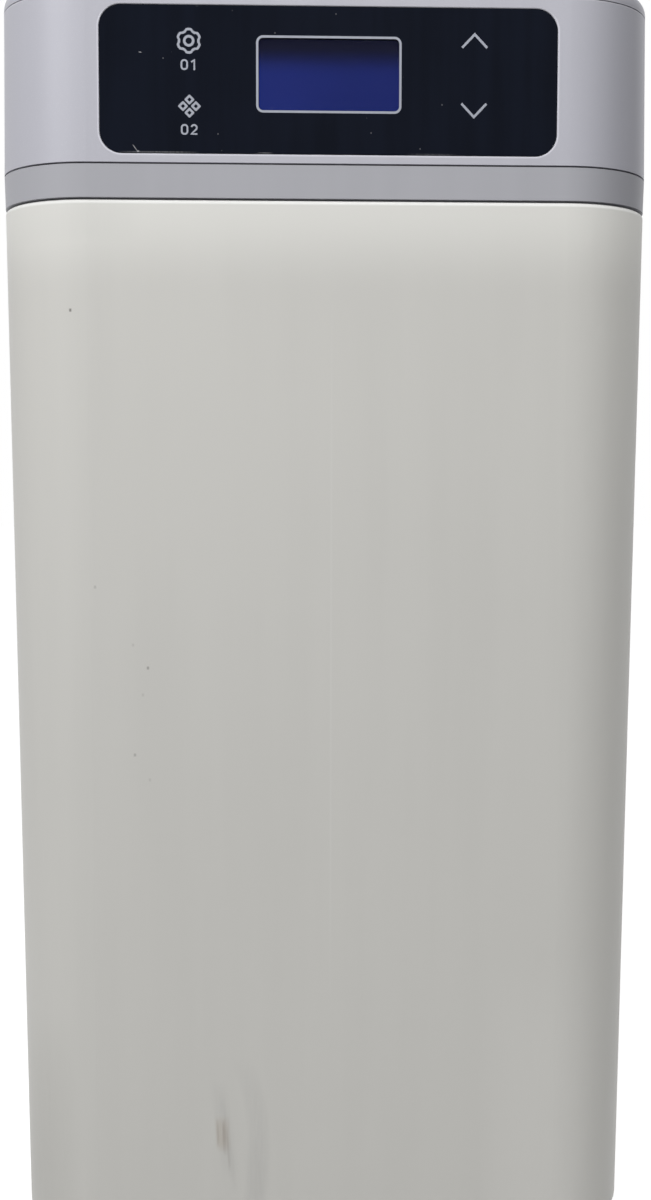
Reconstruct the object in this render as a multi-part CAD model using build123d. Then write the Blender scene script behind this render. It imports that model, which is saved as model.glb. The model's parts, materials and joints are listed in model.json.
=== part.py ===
from build123d import *
import os
from math import acos, atan, atan2, cos, degrees, hypot, pi, radians, sin, tan

os.makedirs("parts", exist_ok=True)

# Millimetres. Origin: centre of the footprint, on the floor. +Z up, +X right, the front faces -Y.

# Casing outline, at its widest line, which is the seam under the head
casing_width = 330.0
casing_depth = 480.0
corner_radius = 47.0
full_turn = 360.0
tank_height = 529.2
collar_height = 16.8
head_height = 80.6
lid_height = 9.4
tank_draft_share = 0.0112
collar_draft_share = 0.024
head_draft_share = 0.0118
seam_gap = 0.9
seam_depth = 2.2
lid_seam_gap = 0.5

# Clearances shared by all pieces
overrun = 1.0
fit_gap = 0.3
run_gap = 0.05

# Cabinet tank
tank_wall = 4.0
tank_floor = 5.0
foot_recess = 3.0
foot_band = 26.0
foot_rib = 24.0
foot_radius = 8.0
rim_radius = 2.0

# Collar and deck
collar_wall = 3.0
skirt_depth = 12.0
skirt_wall = 2.6
deck_drop = 6.0
deck_thickness = 3.0
bay_side_margin = 23.0
bay_hinge_gap = 14.0
bay_rear_margin = 18.0
bay_radius = 12.0

# Head shell
head_wall = 3.0
ledge_width = 7.0
ledge_height = 6.0
ledge_front_margin = 50.0
ledge_hinge_gap = 12.0
boss_radius = 5.0
boss_side_margin = 13.0
boss_front_margin = 110.0
boss_rear_margin = 55.0
web_thickness = 3.0

# Salt chute and its top plate
chute_front_margin = 62.0
chute_hinge_gap = 32.0
chute_radius = 14.0
chute_wall = 2.5
plate_thickness = 3.0
plate_drop = 3.6
plate_hinge_gap = 13.0
sill_hinge_gap = 6.4
sill_thickness = 3.6

# Salt lid and its hinge
lid_skin = 3.0
lid_edge_radius = 7.5
hinge_setback = 88.0
hinge_radius = 4.0
hinge_gap = 0.8
rear_web = 6.0
ear_side_margin = 18.0
ear_width = 12.0
ear_radius = 3.6
ear_gap = 0.6
hinge_pin_radius = 1.75
hinge_pin_reach = 9.0
bumper_radius = 5.0
bumper_side_margin = 53.0
bumper_front_margin = 34.0
hood_lip_radius = 2.0

# Small fasteners
screw_radius = 1.5
screw_hole_radius = 2.2
screw_head_radius = 3.6
screw_head_height = 2.0
screw_bite = 12.0
cross_width = 1.0
cross_depth = 1.2

# Control panel, in the plane of the head's front wall
panel_side_margin = 53.7
panel_top_margin = 5.5
panel_radius = 10.5
panel_rise = 4.9
panel_thickness = 2.4
panel_margin = 3.5
recess_bevel = 0.35
panel_pad = 6.0
panel_ledge = 5.5
window_width_share = 0.3068
window_height = 34.3
window_radius = 2.3
window_lift = 2.8
lcd_side_rim = 6.85
lcd_edge_rim = 5.4
board_side_gap = 14.0
board_edge_gap = 7.5
board_offset = 12.0
board_thickness = 1.6
cover_side_margin = 8.3
cover_edge_margin = 4.1
cover_depth = 22.0
cover_wall = 2.0
cover_post_radius = 3.0
cover_post_side_inset = 6.0
cover_post_edge_inset = 5.0
cover_screw_side_inset = 5.5
cover_screw_edge_inset = 6.0
cover_screw_length = 4.0
key_insets = [(-1, 43.2, 18.2), (-1, 43.4, -12.8), (1, 40.5, 19.7), (1, 40.7, -13.5)]
key_outer_radius = 4.5
key_inner_radius = 3.2

# Brine float, well and its safety valve
well_margin = 16.0
well_radius_share = 0.43
well_wall = 2.6
well_rise = 30.0
well_slot_width = 5.0
well_slot_height = 36.0
well_slot_lift = 14.0
well_slot_count = 8
well_cap_thickness = 3.0
well_cap_lip = 2.0
well_cap_skirt = 10.0
float_valve_radius_share = 0.318
float_valve_height = 30.0
float_valve_drop = 6.0
float_flange_thickness = 3.0
pickup_offset_share = 0.66
pickup_boss_radius_share = 0.2046
pickup_boss_height = 16.0
pickup_radius = 6.0
pickup_wall = 1.5
pickup_grip = 12.0
check_radius_share = 0.2273
check_height = 44.0
check_lift = 3.0
rod_radius = 1.6
rod_head_radius = 3.0
rod_head_height = 3.0
rod_drop = 300.0
stem_wall = 8.0
float_radius_share = 0.432
float_height = 60.0
float_drop = 268.0
grommet_radius = 5.0
grommet_height = 5.0
float_travel = 15.0
brine_tube_radius = 4.76
brine_tube_wall = 1.1
brine_grip = 12.0
nipple_radius = 7.0
nipple_reach = 13.0

# Resin vessel
vessel_side_margin = 17.7
vessel_rear_margin = 15.7
vessel_radius_share = 0.31
vessel_wall = 4.0
vessel_lift = 12.0
shoulder_drop = 43.0
vessel_bottom_round_share = 0.567
vessel_top_round_share = 0.733
neck_radius = 39.0
neck_bore = 30.0
neck_drop = 76.0
boot_wall = 3.0
boot_height = 82.0
boot_floor = 3.0
riser_radius = 13.35
riser_wall = 2.6
riser_low = 40.0
riser_rise = 50.0
basket_radius = 30.0
basket_height = 46.0
basket_wall = 2.4
slot_width = 1.2
slot_count = 12
collector_radius = 23.9
collector_wall = 2.0
collector_drop = 66.0
collector_grip = 18.0
bed_room = 150.0

# Control valve
stub_gap = 0.2
stub_length = 24.0
flange_height = 12.0
barrel_radius = 38.0
chamber_radius = 30.0
chamber_bore = 27.0
riser_seat_height = 20.0
seal_round = 1.3
port_rise = 105.0
port_spacing = 70.0
port_bore = 10.0
cross_bore = 5.0
centre_bore = 6.0
block_half_width = 55.0
block_axis_gap = 24.0
block_rear_margin = 40.0
block_half_height = 20.0
block_radius = 5.0
disc_seat_rise = 116.0
fixed_disc_height = 7.0
moving_disc_height = 7.0
disc_gap = 0.3
disc_port_radius = 6.5
disc_port_ring = 15.0
disc_port_count = 3
disc_first_port = 90.0
plate_seat_rise = 138.0
drive_plate_thickness = 3.0
plate_hub_radius = 20.0
plate_hub_depth = 6.5
seal_pocket_radius = 9.0
seal_height = 3.0
plate_rim_radius = 38.5
lug_radius = 4.5
lug_ring = 34.0
lug_height = 18.0
lug_angle = 45.0
lug_count = 4
shaft_radius = 6.0
shaft_flange_radius = 14.0
shaft_flange_height = 3.0
shaft_rise = 12.4

# Gear drive
gear_module = 1.25
gear_teeth = 64
pinion_teeth = 16
gear_backlash = 0.25
gear_pressure_angle = 20.0
gear_thickness = 6.0
gear_lift = 3.2
gear_hub_radius = 9.0
gear_window_count = 6
gear_window_radius = 7.0
gear_window_ring = 24.0
motor_radius = 18.0
motor_gearbox_height = 24.0
motor_can_radius = 12.0
motor_can_height = 16.0
motor_shaft_radius = 2.5
motor_shaft_grip = 10.0
motor_screw_ring = 14.0
motor_pad_radius = 21.0
tab_width = 16.0
tab_reach = 60.0
sensor_width = 14.0
sensor_depth = 12.0
sensor_height = 14.0
magnet_radius = 2.5
magnet_height = 3.0
magnet_ring = 33.5

# Pipe connections at the rear
thread_radius = 13.22
thread_length = 16.0
spigot_length = 12.0
spigot_wall = 3.2
washer_thickness = 2.0
collar_thickness = 3.0
adapter_neck_radius = 11.0
adapter_bore = 8.5
adapter_hex_flats = 27.0
adapter_setback = 5.0
adapter_hex_length = 13.0
adapter_relief = 2.0
nut_flats = 36.0
nut_lip = 2.5
nut_setback = 2.0
port_hole_radius = 16.2
drain_hex_flats = 19.0
drain_hex_length = 10.0
drain_stem_radius = 7.2
drain_radius = 6.0
hose_barb = 0.8
hose_barb_length = 5.0
hose_barb_count = 3
hose_neck_length = 8.0
drain_bore = 4.0
drain_start_length = 10.0
drain_reach = 24.0
drain_thread_radius = 8.0
rear_plate_port_margin = 32.0
rear_plate_side_margin = 65.0
rear_plate_half_height = 24.0
rear_plate_radius = 6.0
rear_plate_thickness = 2.0
rear_plate_recess = 2.6
rear_pad = 4.0
rear_pad_margin = 4.0
rear_ledge = 6.0
rear_screw_inset = 5.0
jack_inset = 28.0
jack_radius = 5.5
jack_flange_radius = 8.0
jack_flange = 1.6
jack_length = 18.0
jack_bore = 3.0
jack_bore_depth = 9.0
jack_pin_radius = 1.0
injector_rise = 42.0
injector_boss_radius = 13.0
injector_boss_reach = 50.0
injector_bore = 8.0
injector_bore_depth = 24.0
injector_cap_radius = 11.0
injector_cap_height = 7.0
injector_cap_grip = 10.0
brine_rise = 14.0
brine_boss_radius = 9.0
brine_boss_reach = 52.0

# Overflow fitting on the right-hand wall
overflow_y = 60.0
overflow_below_neck = 20.0
overflow_radius = 7.0
overflow_bore = 4.8
overflow_knee_radius = 8.0
overflow_flange_radius = 14.0
overflow_flange = 3.0
overflow_reach = 20.0
overflow_shoulder = 10.0
overflow_grip = 14.0
overflow_nut_flats = 24.0
overflow_nut_height = 7.0

# Salt grid
grid_top = 64.0
grid_thickness = 4.0
grid_gap = 5.0
grid_vessel_gap = 11.7
grid_slot_width = 4.0
grid_slot_room = 92.0
grid_slot_pitch = 14.0
grid_slot_rows = 3
grid_leg_radius = 8.0
grid_leg_bore = 5.5
grid_leg_side_margin = 32.0
grid_leg_front_margin = 50.0
grid_leg_rear_inset = 24.0

# Control cable
cable_radius = 2.5
cable_side_gap = 7.5
cable_front_margin = 22.0
cable_rise = 122.0
cable_bend = 25.0
clip_wall = 1.6
clip_length = 8.0
clip_front_inset = 58.0
clip_rear_inset = 42.0

# Levels worked out from the sizes above
collar_low = tank_height
collar_high = tank_height + collar_height
head_high = collar_high + head_height
overall_height = head_high + lid_height
half_seam = seam_gap / 2
half_lid_seam = lid_seam_gap / 2
deck_top = collar_high - deck_drop
deck_low = deck_top - deck_thickness
floor_top = foot_recess + tank_floor
head_top = head_high - half_lid_seam
plate_top = head_top - plate_drop
plate_low = plate_top - plate_thickness
ledge_low = plate_low - ledge_height
hinge_z = overall_height - hinge_radius
lid_low = head_high + half_lid_seam
lid_ceiling = overall_height - lid_skin
vessel_low = floor_top + vessel_lift
neck_top = collar_high - neck_drop
vessel_shoulder = neck_top - shoulder_drop
collector_low = neck_top - collector_drop
bed_top = neck_top - bed_room
riser_high = neck_top + riser_rise
port_z = neck_top + port_rise
disc_seat = neck_top + disc_seat_rise
plate_seat = neck_top + plate_seat_rise
injector_z = neck_top + injector_rise
brine_z = neck_top + brine_rise
cable_z = neck_top + cable_rise
overflow_z = neck_top - overflow_below_neck
well_top = neck_top + well_rise
rod_low = well_top - rod_drop
float_low = well_top - float_drop
plate_face = plate_seat + drive_plate_thickness
gear_low = plate_face + gear_lift
gear_high = gear_low + gear_thickness
disc_top = disc_seat + fixed_disc_height + disc_gap + moving_disc_height

# Places worked out from the casing: the vessel at the rear left, the brine well at the rear right
vessel_radius = casing_width * vessel_radius_share
vessel_x = vessel_side_margin + vessel_radius - casing_width / 2
vessel_y = casing_depth / 2 - vessel_rear_margin - vessel_radius
vessel_bottom_round = vessel_radius * vessel_bottom_round_share
vessel_top_round = vessel_radius * vessel_top_round_share
well_radius = vessel_radius * well_radius_share
well_x = casing_width / 2 - well_margin - well_radius
well_y = casing_depth / 2 - well_margin - well_radius
float_valve_radius = well_radius * float_valve_radius_share
float_radius = well_radius * float_radius_share
pickup_offset = well_radius * pickup_offset_share
pickup_boss_radius = well_radius * pickup_boss_radius_share
check_radius = well_radius * check_radius_share
gear_radius = gear_module * gear_teeth / 2
pinion_radius = gear_module * pinion_teeth / 2
motor_x = vessel_x + gear_radius + pinion_radius
inlet_x = vessel_x - port_spacing / 2
outlet_x = vessel_x + port_spacing / 2

# Places of the hinge, the salt chute, the deck's openings and the screw bosses
hinge_y = vessel_y - hinge_setback
hood_front = hinge_y + hinge_radius + hinge_gap
chute_width = casing_width - 2 * corner_radius
chute_front = chute_front_margin - casing_depth / 2
chute_rear = hinge_y - chute_hinge_gap
plate_rear = hinge_y + plate_hinge_gap
sill_front = hinge_y + sill_hinge_gap
sill_rear = sill_front + sill_thickness
ear_x = chute_width / 2 - ear_side_margin
bumper_x = casing_width / 2 - bumper_side_margin
bumper_y = bumper_front_margin - casing_depth / 2
bay_half_width = casing_width / 2 - bay_side_margin
bay_front = hinge_y + bay_hinge_gap
bay_rear = casing_depth / 2 - bay_rear_margin
ledge_front = ledge_front_margin - casing_depth / 2
ledge_rear = hinge_y + ledge_hinge_gap
boss_x = casing_width / 2 - boss_side_margin
boss_front = boss_front_margin - casing_depth / 2
boss_rear = casing_depth / 2 - boss_rear_margin

# Sizes of the control panel's pieces, each set inside the one that carries it
panel_width = casing_width - 2 * panel_side_margin
panel_height = head_height - panel_rise - panel_top_margin
window_width = panel_width * window_width_share
lcd_width = window_width + 2 * lcd_side_rim
lcd_height = window_height + 2 * lcd_edge_rim
cover_width = panel_width - 2 * cover_side_margin
cover_height = panel_height - 2 * cover_edge_margin
board_width = cover_width - 2 * board_side_gap
board_height = cover_height - 2 * board_edge_gap
cover_post_x = board_width / 2 - cover_post_side_inset
cover_post_z = board_height / 2 - cover_post_edge_inset
cover_screw_x = cover_width / 2 - cover_screw_side_inset
cover_screw_z = cover_height / 2 - cover_screw_edge_inset
key_places = [(side * (panel_width / 2 - inset), z) for side, inset, z in key_insets]

# Places of the rear connections, the cable and the salt grid
block_rear = casing_depth / 2 - block_rear_margin
block_front = vessel_y + block_axis_gap
adapter_hex_start = casing_depth / 2 - adapter_setback
adapter_hex_end = adapter_hex_start + adapter_hex_length
drain_end = casing_depth / 2 + drain_reach
rear_plate_seat = casing_depth / 2 - rear_plate_recess
rear_plate_left = inlet_x - rear_plate_port_margin
rear_plate_right = casing_width / 2 - rear_plate_side_margin
jack_x = rear_plate_right - jack_inset
cable_x = chute_width / 2 + chute_wall + cable_side_gap
cable_y = cable_front_margin - casing_depth / 2
cable_start = cover_width / 2 - 2 * panel_ledge
clip_places = [chute_front + clip_front_inset, chute_rear - clip_rear_inset]
overflow_drop = overflow_shoulder + hose_neck_length + hose_barb_count * hose_barb_length
grid_rear = vessel_y - vessel_radius - grid_vessel_gap
grid_slot_length = (grid_rear + casing_depth / 2 - grid_slot_room) / grid_slot_rows
grid_leg_x = casing_width / 2 - grid_leg_side_margin
grid_leg_front = grid_leg_front_margin - casing_depth / 2
grid_leg_rear = grid_rear - grid_leg_rear_inset


def inset_at(z):
    """How far the drafted outside lies inside the widest outline, at height z."""
    if z >= collar_high:
        return (z - collar_high) * head_draft_share
    if z >= collar_low:
        return (collar_high - z) * collar_draft_share
    return collar_height * collar_draft_share + (collar_low - z) * tank_draft_share


def section(z, inset=0.0):
    """Rounded outline of the casing at height z, moved inwards by inset."""
    inward = inset_at(z) + inset
    width = casing_width - 2 * inward
    depth = casing_depth - 2 * inward
    return Pos(0, 0, z) * RectangleRounded(width, depth, corner_radius - inward)


def casing_block(low, high, inset=0.0):
    """Solid between two heights that follows the drafted outline."""
    return loft([section(low, inset), section(high, inset)], ruled=True)


def seam_ring(z):
    """Ring that cuts the visible groove of a seam centred on height z."""
    low = z - half_seam
    high = z + half_seam
    return casing_block(low, high, -overrun) - casing_block(low, high, seam_depth)


def block(x0, x1, y0, y1, z0, z1):
    """Square-edged block between two corners."""
    return Pos((x0 + x1) / 2, (y0 + y1) / 2, (z0 + z1) / 2) * Box(x1 - x0, y1 - y0, z1 - z0)


def rounded_post(x0, x1, y0, y1, z0, z1, radius):
    """Upright block with rounded vertical edges."""
    outline = Pos((x0 + x1) / 2, (y0 + y1) / 2, z0) * RectangleRounded(x1 - x0, y1 - y0, radius)
    return extrude(outline, z1 - z0)


def post(x, y, radius, z0, z1):
    """Upright cylinder."""
    return Pos(x, y, (z0 + z1) / 2) * Cylinder(radius, z1 - z0)


def bar_x(y, z, radius, x0, x1):
    """Cylinder along X."""
    return Pos((x0 + x1) / 2, y, z) * Rot(0, 90, 0) * Cylinder(radius, x1 - x0)


def bar_y(x, z, radius, y0, y1):
    """Cylinder along Y."""
    return Pos(x, (y0 + y1) / 2, z) * Rot(90, 0, 0) * Cylinder(radius, y1 - y0)


def hex_y(x, z, flats, y0, y1):
    """Hexagonal bar along Y, given across its flats."""
    outline = Plane(origin=(x, y0, z), x_dir=(1, 0, 0), z_dir=(0, 1, 0)) * RegularPolygon(flats / 2, 6, False)
    return extrude(outline, y1 - y0)


def hex_post(flats, z0, z1):
    """Hexagonal upright on the origin, given across its flats."""
    return extrude(Pos(0, 0, z0) * RegularPolygon(flats / 2, 6, False), z1 - z0)


def screw(head_side, length):
    """Pan-head screw along Z: its head's underside at zero, its shank below, or above if turned."""
    head = Pos(0, 0, screw_head_height / 2) * Cylinder(screw_head_radius, screw_head_height)
    shank = Pos(0, 0, -length / 2) * Cylinder(screw_radius, length)
    slot_low = screw_head_height - cross_depth
    half = screw_head_radius / 2
    cross = block(-half, half, -cross_width / 2, cross_width / 2, slot_low, screw_head_height + overrun)
    body = head + shank - cross - Rot(0, 0, 90) * cross
    return body if head_side > 0 else Rot(180, 0, 0) * body


def group(solids):
    """Several separate solids that share one node."""
    return Compound(children=list(solids))


def save(name, shape):
    """Write one sub-part."""
    export_step(shape, "parts/" + name + ".step")


# Local places: the front wall, the right-hand wall, and the rear ports
head_tilt = degrees(atan(head_draft_share))
tank_tilt = degrees(atan(tank_draft_share))
panel_mid = collar_high + panel_rise + panel_height / 2
panel_place = Pos(0, inset_at(panel_mid) - casing_depth / 2, panel_mid) * Rot(-head_tilt, 0, 0)
side_x = casing_width / 2 - inset_at(overflow_z)
side_place = Pos(side_x, overflow_y, overflow_z) * Rot(0, 90 + tank_tilt, 0)
boss_spots = [(side * boss_x, y) for side in (-1, 1) for y in (boss_front, boss_rear)]
brine_turn = atan2(well_y - vessel_y, well_x - vessel_x)
brine_span = hypot(well_x - vessel_x, well_y - vessel_y)
valve_place = Pos(vessel_x, vessel_y, 0)
brine_place = Pos(vessel_x, vessel_y, brine_z) * Rot(0, 0, degrees(brine_turn))
well_place = Pos(well_x, well_y, 0) * Rot(0, 0, degrees(brine_turn))


def cabinet_tank():
    """Open drafted cabinet: rounded foot and rim, four pockets underneath, an overflow hole."""
    rim = collar_low - half_seam
    outer = casing_block(0, rim)
    foot_edges = outer.faces().sort_by(Axis.Z)[0].edges()
    outer = fillet(foot_edges, foot_radius)
    rim_edges = outer.faces().sort_by(Axis.Z)[-1].edges()
    outer = fillet(rim_edges, rim_radius)
    hollow = casing_block(floor_top, rim + overrun, tank_wall)
    recess = casing_block(-overrun, foot_recess, foot_band)
    half_rib = foot_rib / 2
    below = -2 * overrun
    recess = recess - block(-half_rib, half_rib, -casing_depth, casing_depth, below, foot_recess)
    recess = recess - block(-casing_width, casing_width, -half_rib, half_rib, below, foot_recess)
    hole = side_place * Cylinder(overflow_radius + fit_gap, 4 * tank_wall)
    return outer - hollow - recess - hole


def deck_collar():
    """Grey band with a skirt inside the tank and a deck plate with two openings."""
    band_low = collar_low - half_seam
    band_high = collar_high - half_seam
    band = casing_block(band_low, band_high)
    band = band - casing_block(band_low - overrun, band_high + overrun, collar_wall)
    band = band - seam_ring(collar_low)
    skirt_inset = tank_wall + fit_gap
    skirt_low = collar_low - skirt_depth
    skirt = casing_block(skirt_low, deck_top, skirt_inset)
    skirt = skirt - casing_block(skirt_low - overrun, deck_low, skirt_inset + skirt_wall)
    bridge = casing_block(band_low, deck_top, seam_depth)
    bridge = bridge - casing_block(band_low - overrun, deck_top + overrun, skirt_inset + skirt_wall)
    body = band + skirt + bridge
    half = chute_width / 2
    cut = (deck_low - overrun, deck_top + overrun)
    mouth = rounded_post(-half, half, chute_front, chute_rear, *cut, chute_radius)
    bay = rounded_post(-bay_half_width, bay_half_width, bay_front, bay_rear, *cut, bay_radius)
    body = body - mouth - bay
    for x, y in boss_spots:
        body = body - post(x, y, screw_hole_radius, deck_low - overrun, deck_top + overrun)
    return body


def panel_slab(width, height, radius, front, back):
    """Rounded plate parallel to the head's front wall, between two depths behind it."""
    plane = Plane(origin=(0, front, 0), x_dir=(1, 0, 0), z_dir=(0, 1, 0))
    return extrude(plane * RectangleRounded(width, height, radius), back - front)


def recess_mouth():
    """Bevel round the panel's recess: wide at the front wall, as wide as the recess behind it."""
    outlines = []
    for depth in (-recess_bevel, recess_bevel):
        grow = fit_gap + recess_bevel - depth
        plane = Plane(origin=(0, depth, 0), x_dir=(1, 0, 0), z_dir=(0, 1, 0))
        outline = RectangleRounded(panel_width + 2 * grow, panel_height + 2 * grow, panel_radius + grow)
        outlines.append(plane * outline)
    return loft(outlines, ruled=True)


def head_shell():
    """Silver ring with the panel recess, side ledges, four screw bosses and the rear cut-out."""
    low = collar_high - half_seam
    high = head_top
    inside = casing_block(low - overrun, high + overrun, head_wall)
    body = casing_block(low, high) - inside - seam_ring(collar_high)
    pad = panel_slab(
        panel_width + 2 * panel_margin,
        panel_height + 2 * panel_margin,
        panel_radius + panel_margin,
        seam_depth,
        panel_pad,
    )
    body = body + panel_place * pad
    recess = panel_slab(
        panel_width + 2 * fit_gap, panel_height + 2 * fit_gap, panel_radius + fit_gap, -overrun, panel_thickness
    )
    opening_width = cover_width - 4 * panel_ledge
    opening_height = cover_height - 2 * panel_ledge
    opening = panel_slab(opening_width, opening_height, panel_radius / 2, 0, panel_pad + overrun)
    body = body - panel_place * recess - panel_place * opening - panel_place * recess_mouth()
    for x, z in cover_screw_spots():
        body = body - panel_place * bar_y(x, z, screw_radius, panel_thickness, panel_pad + overrun)
    half = casing_width / 2
    ledge_box = block(-half, half, ledge_front, ledge_rear, ledge_low, plate_low)
    ledge = (casing_block(ledge_low, plate_low, head_wall / 2) & ledge_box)
    ledge = ledge - casing_block(ledge_low - overrun, plate_low + overrun, head_wall + ledge_width)
    body = body + ledge
    for x, y in boss_spots:
        top = plate_low if y < 0 else lid_ceiling
        web_top = plate_low if y < 0 else high
        wall_x = half - inset_at(high) - head_wall / 2
        x0, x1 = sorted([x, wall_x if x > 0 else -wall_x])
        web = block(x0, x1, y - web_thickness / 2, y + web_thickness / 2, deck_top + screw_bite, web_top)
        body = body + post(x, y, boss_radius, deck_top, top) + web
    for x, y in boss_spots:
        top = plate_low if y < 0 else lid_ceiling
        body = body - post(x, y, screw_radius, deck_top - overrun, deck_top + screw_bite)
        body = body - post(x, y, screw_radius, top - screw_bite, top + overrun)
    pad_low = port_z - rear_plate_half_height - rear_pad_margin
    pad_high = port_z + rear_plate_half_height + rear_pad_margin
    rear_inside = rear_plate_seat - rear_pad
    pad_left = rear_plate_left - rear_pad_margin
    pad_right = rear_plate_right + rear_pad_margin
    body = body + block(pad_left, pad_right, rear_inside, rear_plate_seat, pad_low, pad_high)
    body = body - rear_slab(fit_gap, rear_plate_seat, casing_depth / 2 + overrun)
    body = body - rear_slab(-rear_ledge, rear_inside - overrun, casing_depth / 2 + overrun)
    for x, z in rear_screw_spots():
        body = body - bar_y(x, z, screw_radius, rear_inside - overrun, casing_depth / 2)
    return body


def rear_slab(grow, y0, y1):
    """Rounded plate over the rear ports, grown on all sides, between two depths."""
    mid = (rear_plate_left + rear_plate_right) / 2
    width = rear_plate_right - rear_plate_left + 2 * grow
    height = 2 * (rear_plate_half_height + grow)
    outline = Plane(origin=(mid, y0, port_z), x_dir=(1, 0, 0), z_dir=(0, 1, 0))
    radius = rear_plate_radius + min(grow, rear_plate_radius / 2)
    radius = max(radius, rear_plate_radius / 2)
    return extrude(outline * RectangleRounded(width, height, radius), y1 - y0)


def rear_screw_spots():
    """Places of the four screws in the rear plate's corners."""
    xs = (rear_plate_left + rear_screw_inset, rear_plate_right - rear_screw_inset)
    reach = rear_plate_half_height - rear_screw_inset
    return [(x, z) for x in xs for z in (port_z - reach, port_z + reach)]


def cover_screw_spots():
    """Places of the four screws of the electronics cover, in the panel's plane."""
    return [(x, z) for x in (-cover_screw_x, cover_screw_x) for z in (-cover_screw_z, cover_screw_z)]


def salt_chute():
    """Top plate on the head's ledges, with the salt funnel, hinge ears and the hood's sill."""
    front = inset_at(plate_top) - casing_depth / 2 + panel_pad + fit_gap
    half = casing_width / 2
    plate = casing_block(plate_low, plate_top, head_wall + fit_gap)
    body = plate & block(-half, half, front, plate_rear, plate_low, plate_top)
    w = chute_width / 2
    wall = chute_wall
    front_face = chute_front - wall
    rear_face = chute_rear + wall
    funnel = rounded_post(-w - wall, w + wall, front_face, rear_face, deck_top, plate_top, chute_radius + wall)
    body = body + funnel
    cut = (deck_top - overrun, plate_top + overrun)
    body = body - rounded_post(-w, w, chute_front, chute_rear, *cut, chute_radius)
    sill_half = half - head_wall - ledge_width
    body = body + block(-sill_half, sill_half, sill_front, sill_rear, plate_top, lid_low)
    for side in (-1, 1):
        x = side * ear_x
        ends = (x - ear_width / 2, x + ear_width / 2)
        ear = block(*ends, hinge_y - ear_radius, hinge_y + ear_radius, plate_top, hinge_z)
        ear = ear + bar_x(hinge_y, hinge_z, ear_radius, *ends)
        hole = bar_x(hinge_y, hinge_z, hinge_pin_radius, x - ear_width, x + ear_width)
        body = body + ear - hole
    for x, y in boss_spots:
        if y < 0:
            body = body - post(x, y, screw_hole_radius, plate_low - overrun, plate_top + overrun)
    return body


def top_block():
    """The lid and hood together as one block with a rounded upper edge."""
    body = casing_block(lid_low, overall_height)
    top_edges = body.faces().sort_by(Axis.Z)[-1].edges()
    return fillet(top_edges, lid_edge_radius)


def salt_lid():
    """Front lid: a shallow tray turned over, with a hinge barrel along its rear edge."""
    half = casing_width / 2
    whole = top_block()
    front = whole & block(-half, half, -half - casing_depth, hinge_y, lid_low, overall_height)
    barrel = bar_x(hinge_y, hinge_z, hinge_radius, -half, half) & whole
    body = front + barrel
    pocket = casing_block(lid_low - overrun, lid_ceiling, lid_skin)
    pocket = pocket & block(-half, half, -casing_depth, hinge_y - rear_web, lid_low - overrun, lid_ceiling)
    body = body - pocket
    for side in (-1, 1):
        x = side * ear_x
        reach = ear_width / 2 + ear_gap
        notch_front = hinge_y - ear_radius - ear_gap
        notch_rear = hinge_y + 2 * hinge_radius
        notch_levels = (lid_low - overrun, overall_height + overrun)
        notch = block(x - reach, x + reach, notch_front, notch_rear, *notch_levels)
        body = body - notch
        pin_end = ear_width / 2 + hinge_pin_reach + ear_gap
        body = body - bar_x(hinge_y, hinge_z, hinge_pin_radius + run_gap, x - pin_end, x + pin_end)
    return body


def hinge_pins():
    """One pin through each ear, turning in the lid's barrel on both sides."""
    reach = ear_width / 2 + hinge_pin_reach
    return group(bar_x(hinge_y, hinge_z, hinge_pin_radius, x - reach, x + reach) for x in (-ear_x, ear_x))


def lid_bumpers():
    """Rubber buttons under the lid's front corners, which rest on the top plate."""
    low = plate_top + run_gap
    return group(post(x, bumper_y, bumper_radius, low, lid_ceiling) for x in (-bumper_x, bumper_x))


def valve_hood():
    """Rear cover over the valve, with a rounded front lip beside the hinge barrel."""
    half = casing_width / 2
    body = top_block() & block(-half, half, hood_front, casing_depth, lid_low, overall_height)
    lip = body.edges().filter_by(Axis.X).sort_by(lambda e: e.center().Y - e.center().Z)[0]
    body = fillet(lip, hood_lip_radius)
    skirt = casing_block(head_top, lid_low, seam_depth)
    inside_front = hood_front + lid_skin
    skirt = skirt & block(-half, half, inside_front, casing_depth, head_top, lid_low)
    body = body + skirt
    pocket_low = head_top - overrun
    pocket = casing_block(pocket_low, lid_ceiling, lid_skin)
    pocket = pocket & block(-half, half, inside_front, casing_depth, pocket_low, lid_ceiling)
    body = body - pocket
    for x, y in boss_spots:
        if y > 0:
            above = overall_height + overrun
            body = body - post(x, y, screw_hole_radius, lid_ceiling - overrun, above)
            body = body - post(x, y, screw_head_radius + fit_gap, overall_height - screw_head_height, above)
    return body


def casing_screws():
    """The alike screws of the head and the top plate, and the screws of the hood."""
    same = [Pos(x, y, deck_low) * screw(-1, deck_thickness + screw_bite - overrun) for x, y in boss_spots]
    for x, y in boss_spots:
        if y < 0:
            same.append(Pos(x, y, plate_top) * screw(1, plate_thickness + screw_bite - overrun))
    hood_screw = screw(1, lid_skin - screw_head_height + screw_bite - overrun)
    seat = overall_height - screw_head_height
    return group(same), group(Pos(x, y, seat) * hood_screw for x, y in boss_spots if y > 0)


def window_hole(grow, front, back):
    """Opening or lens of the display window, in the panel's plane."""
    width = window_width + 2 * grow
    height = window_height + 2 * grow
    return Pos(0, 0, window_lift) * panel_slab(width, height, window_radius + grow, front, back)


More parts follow.
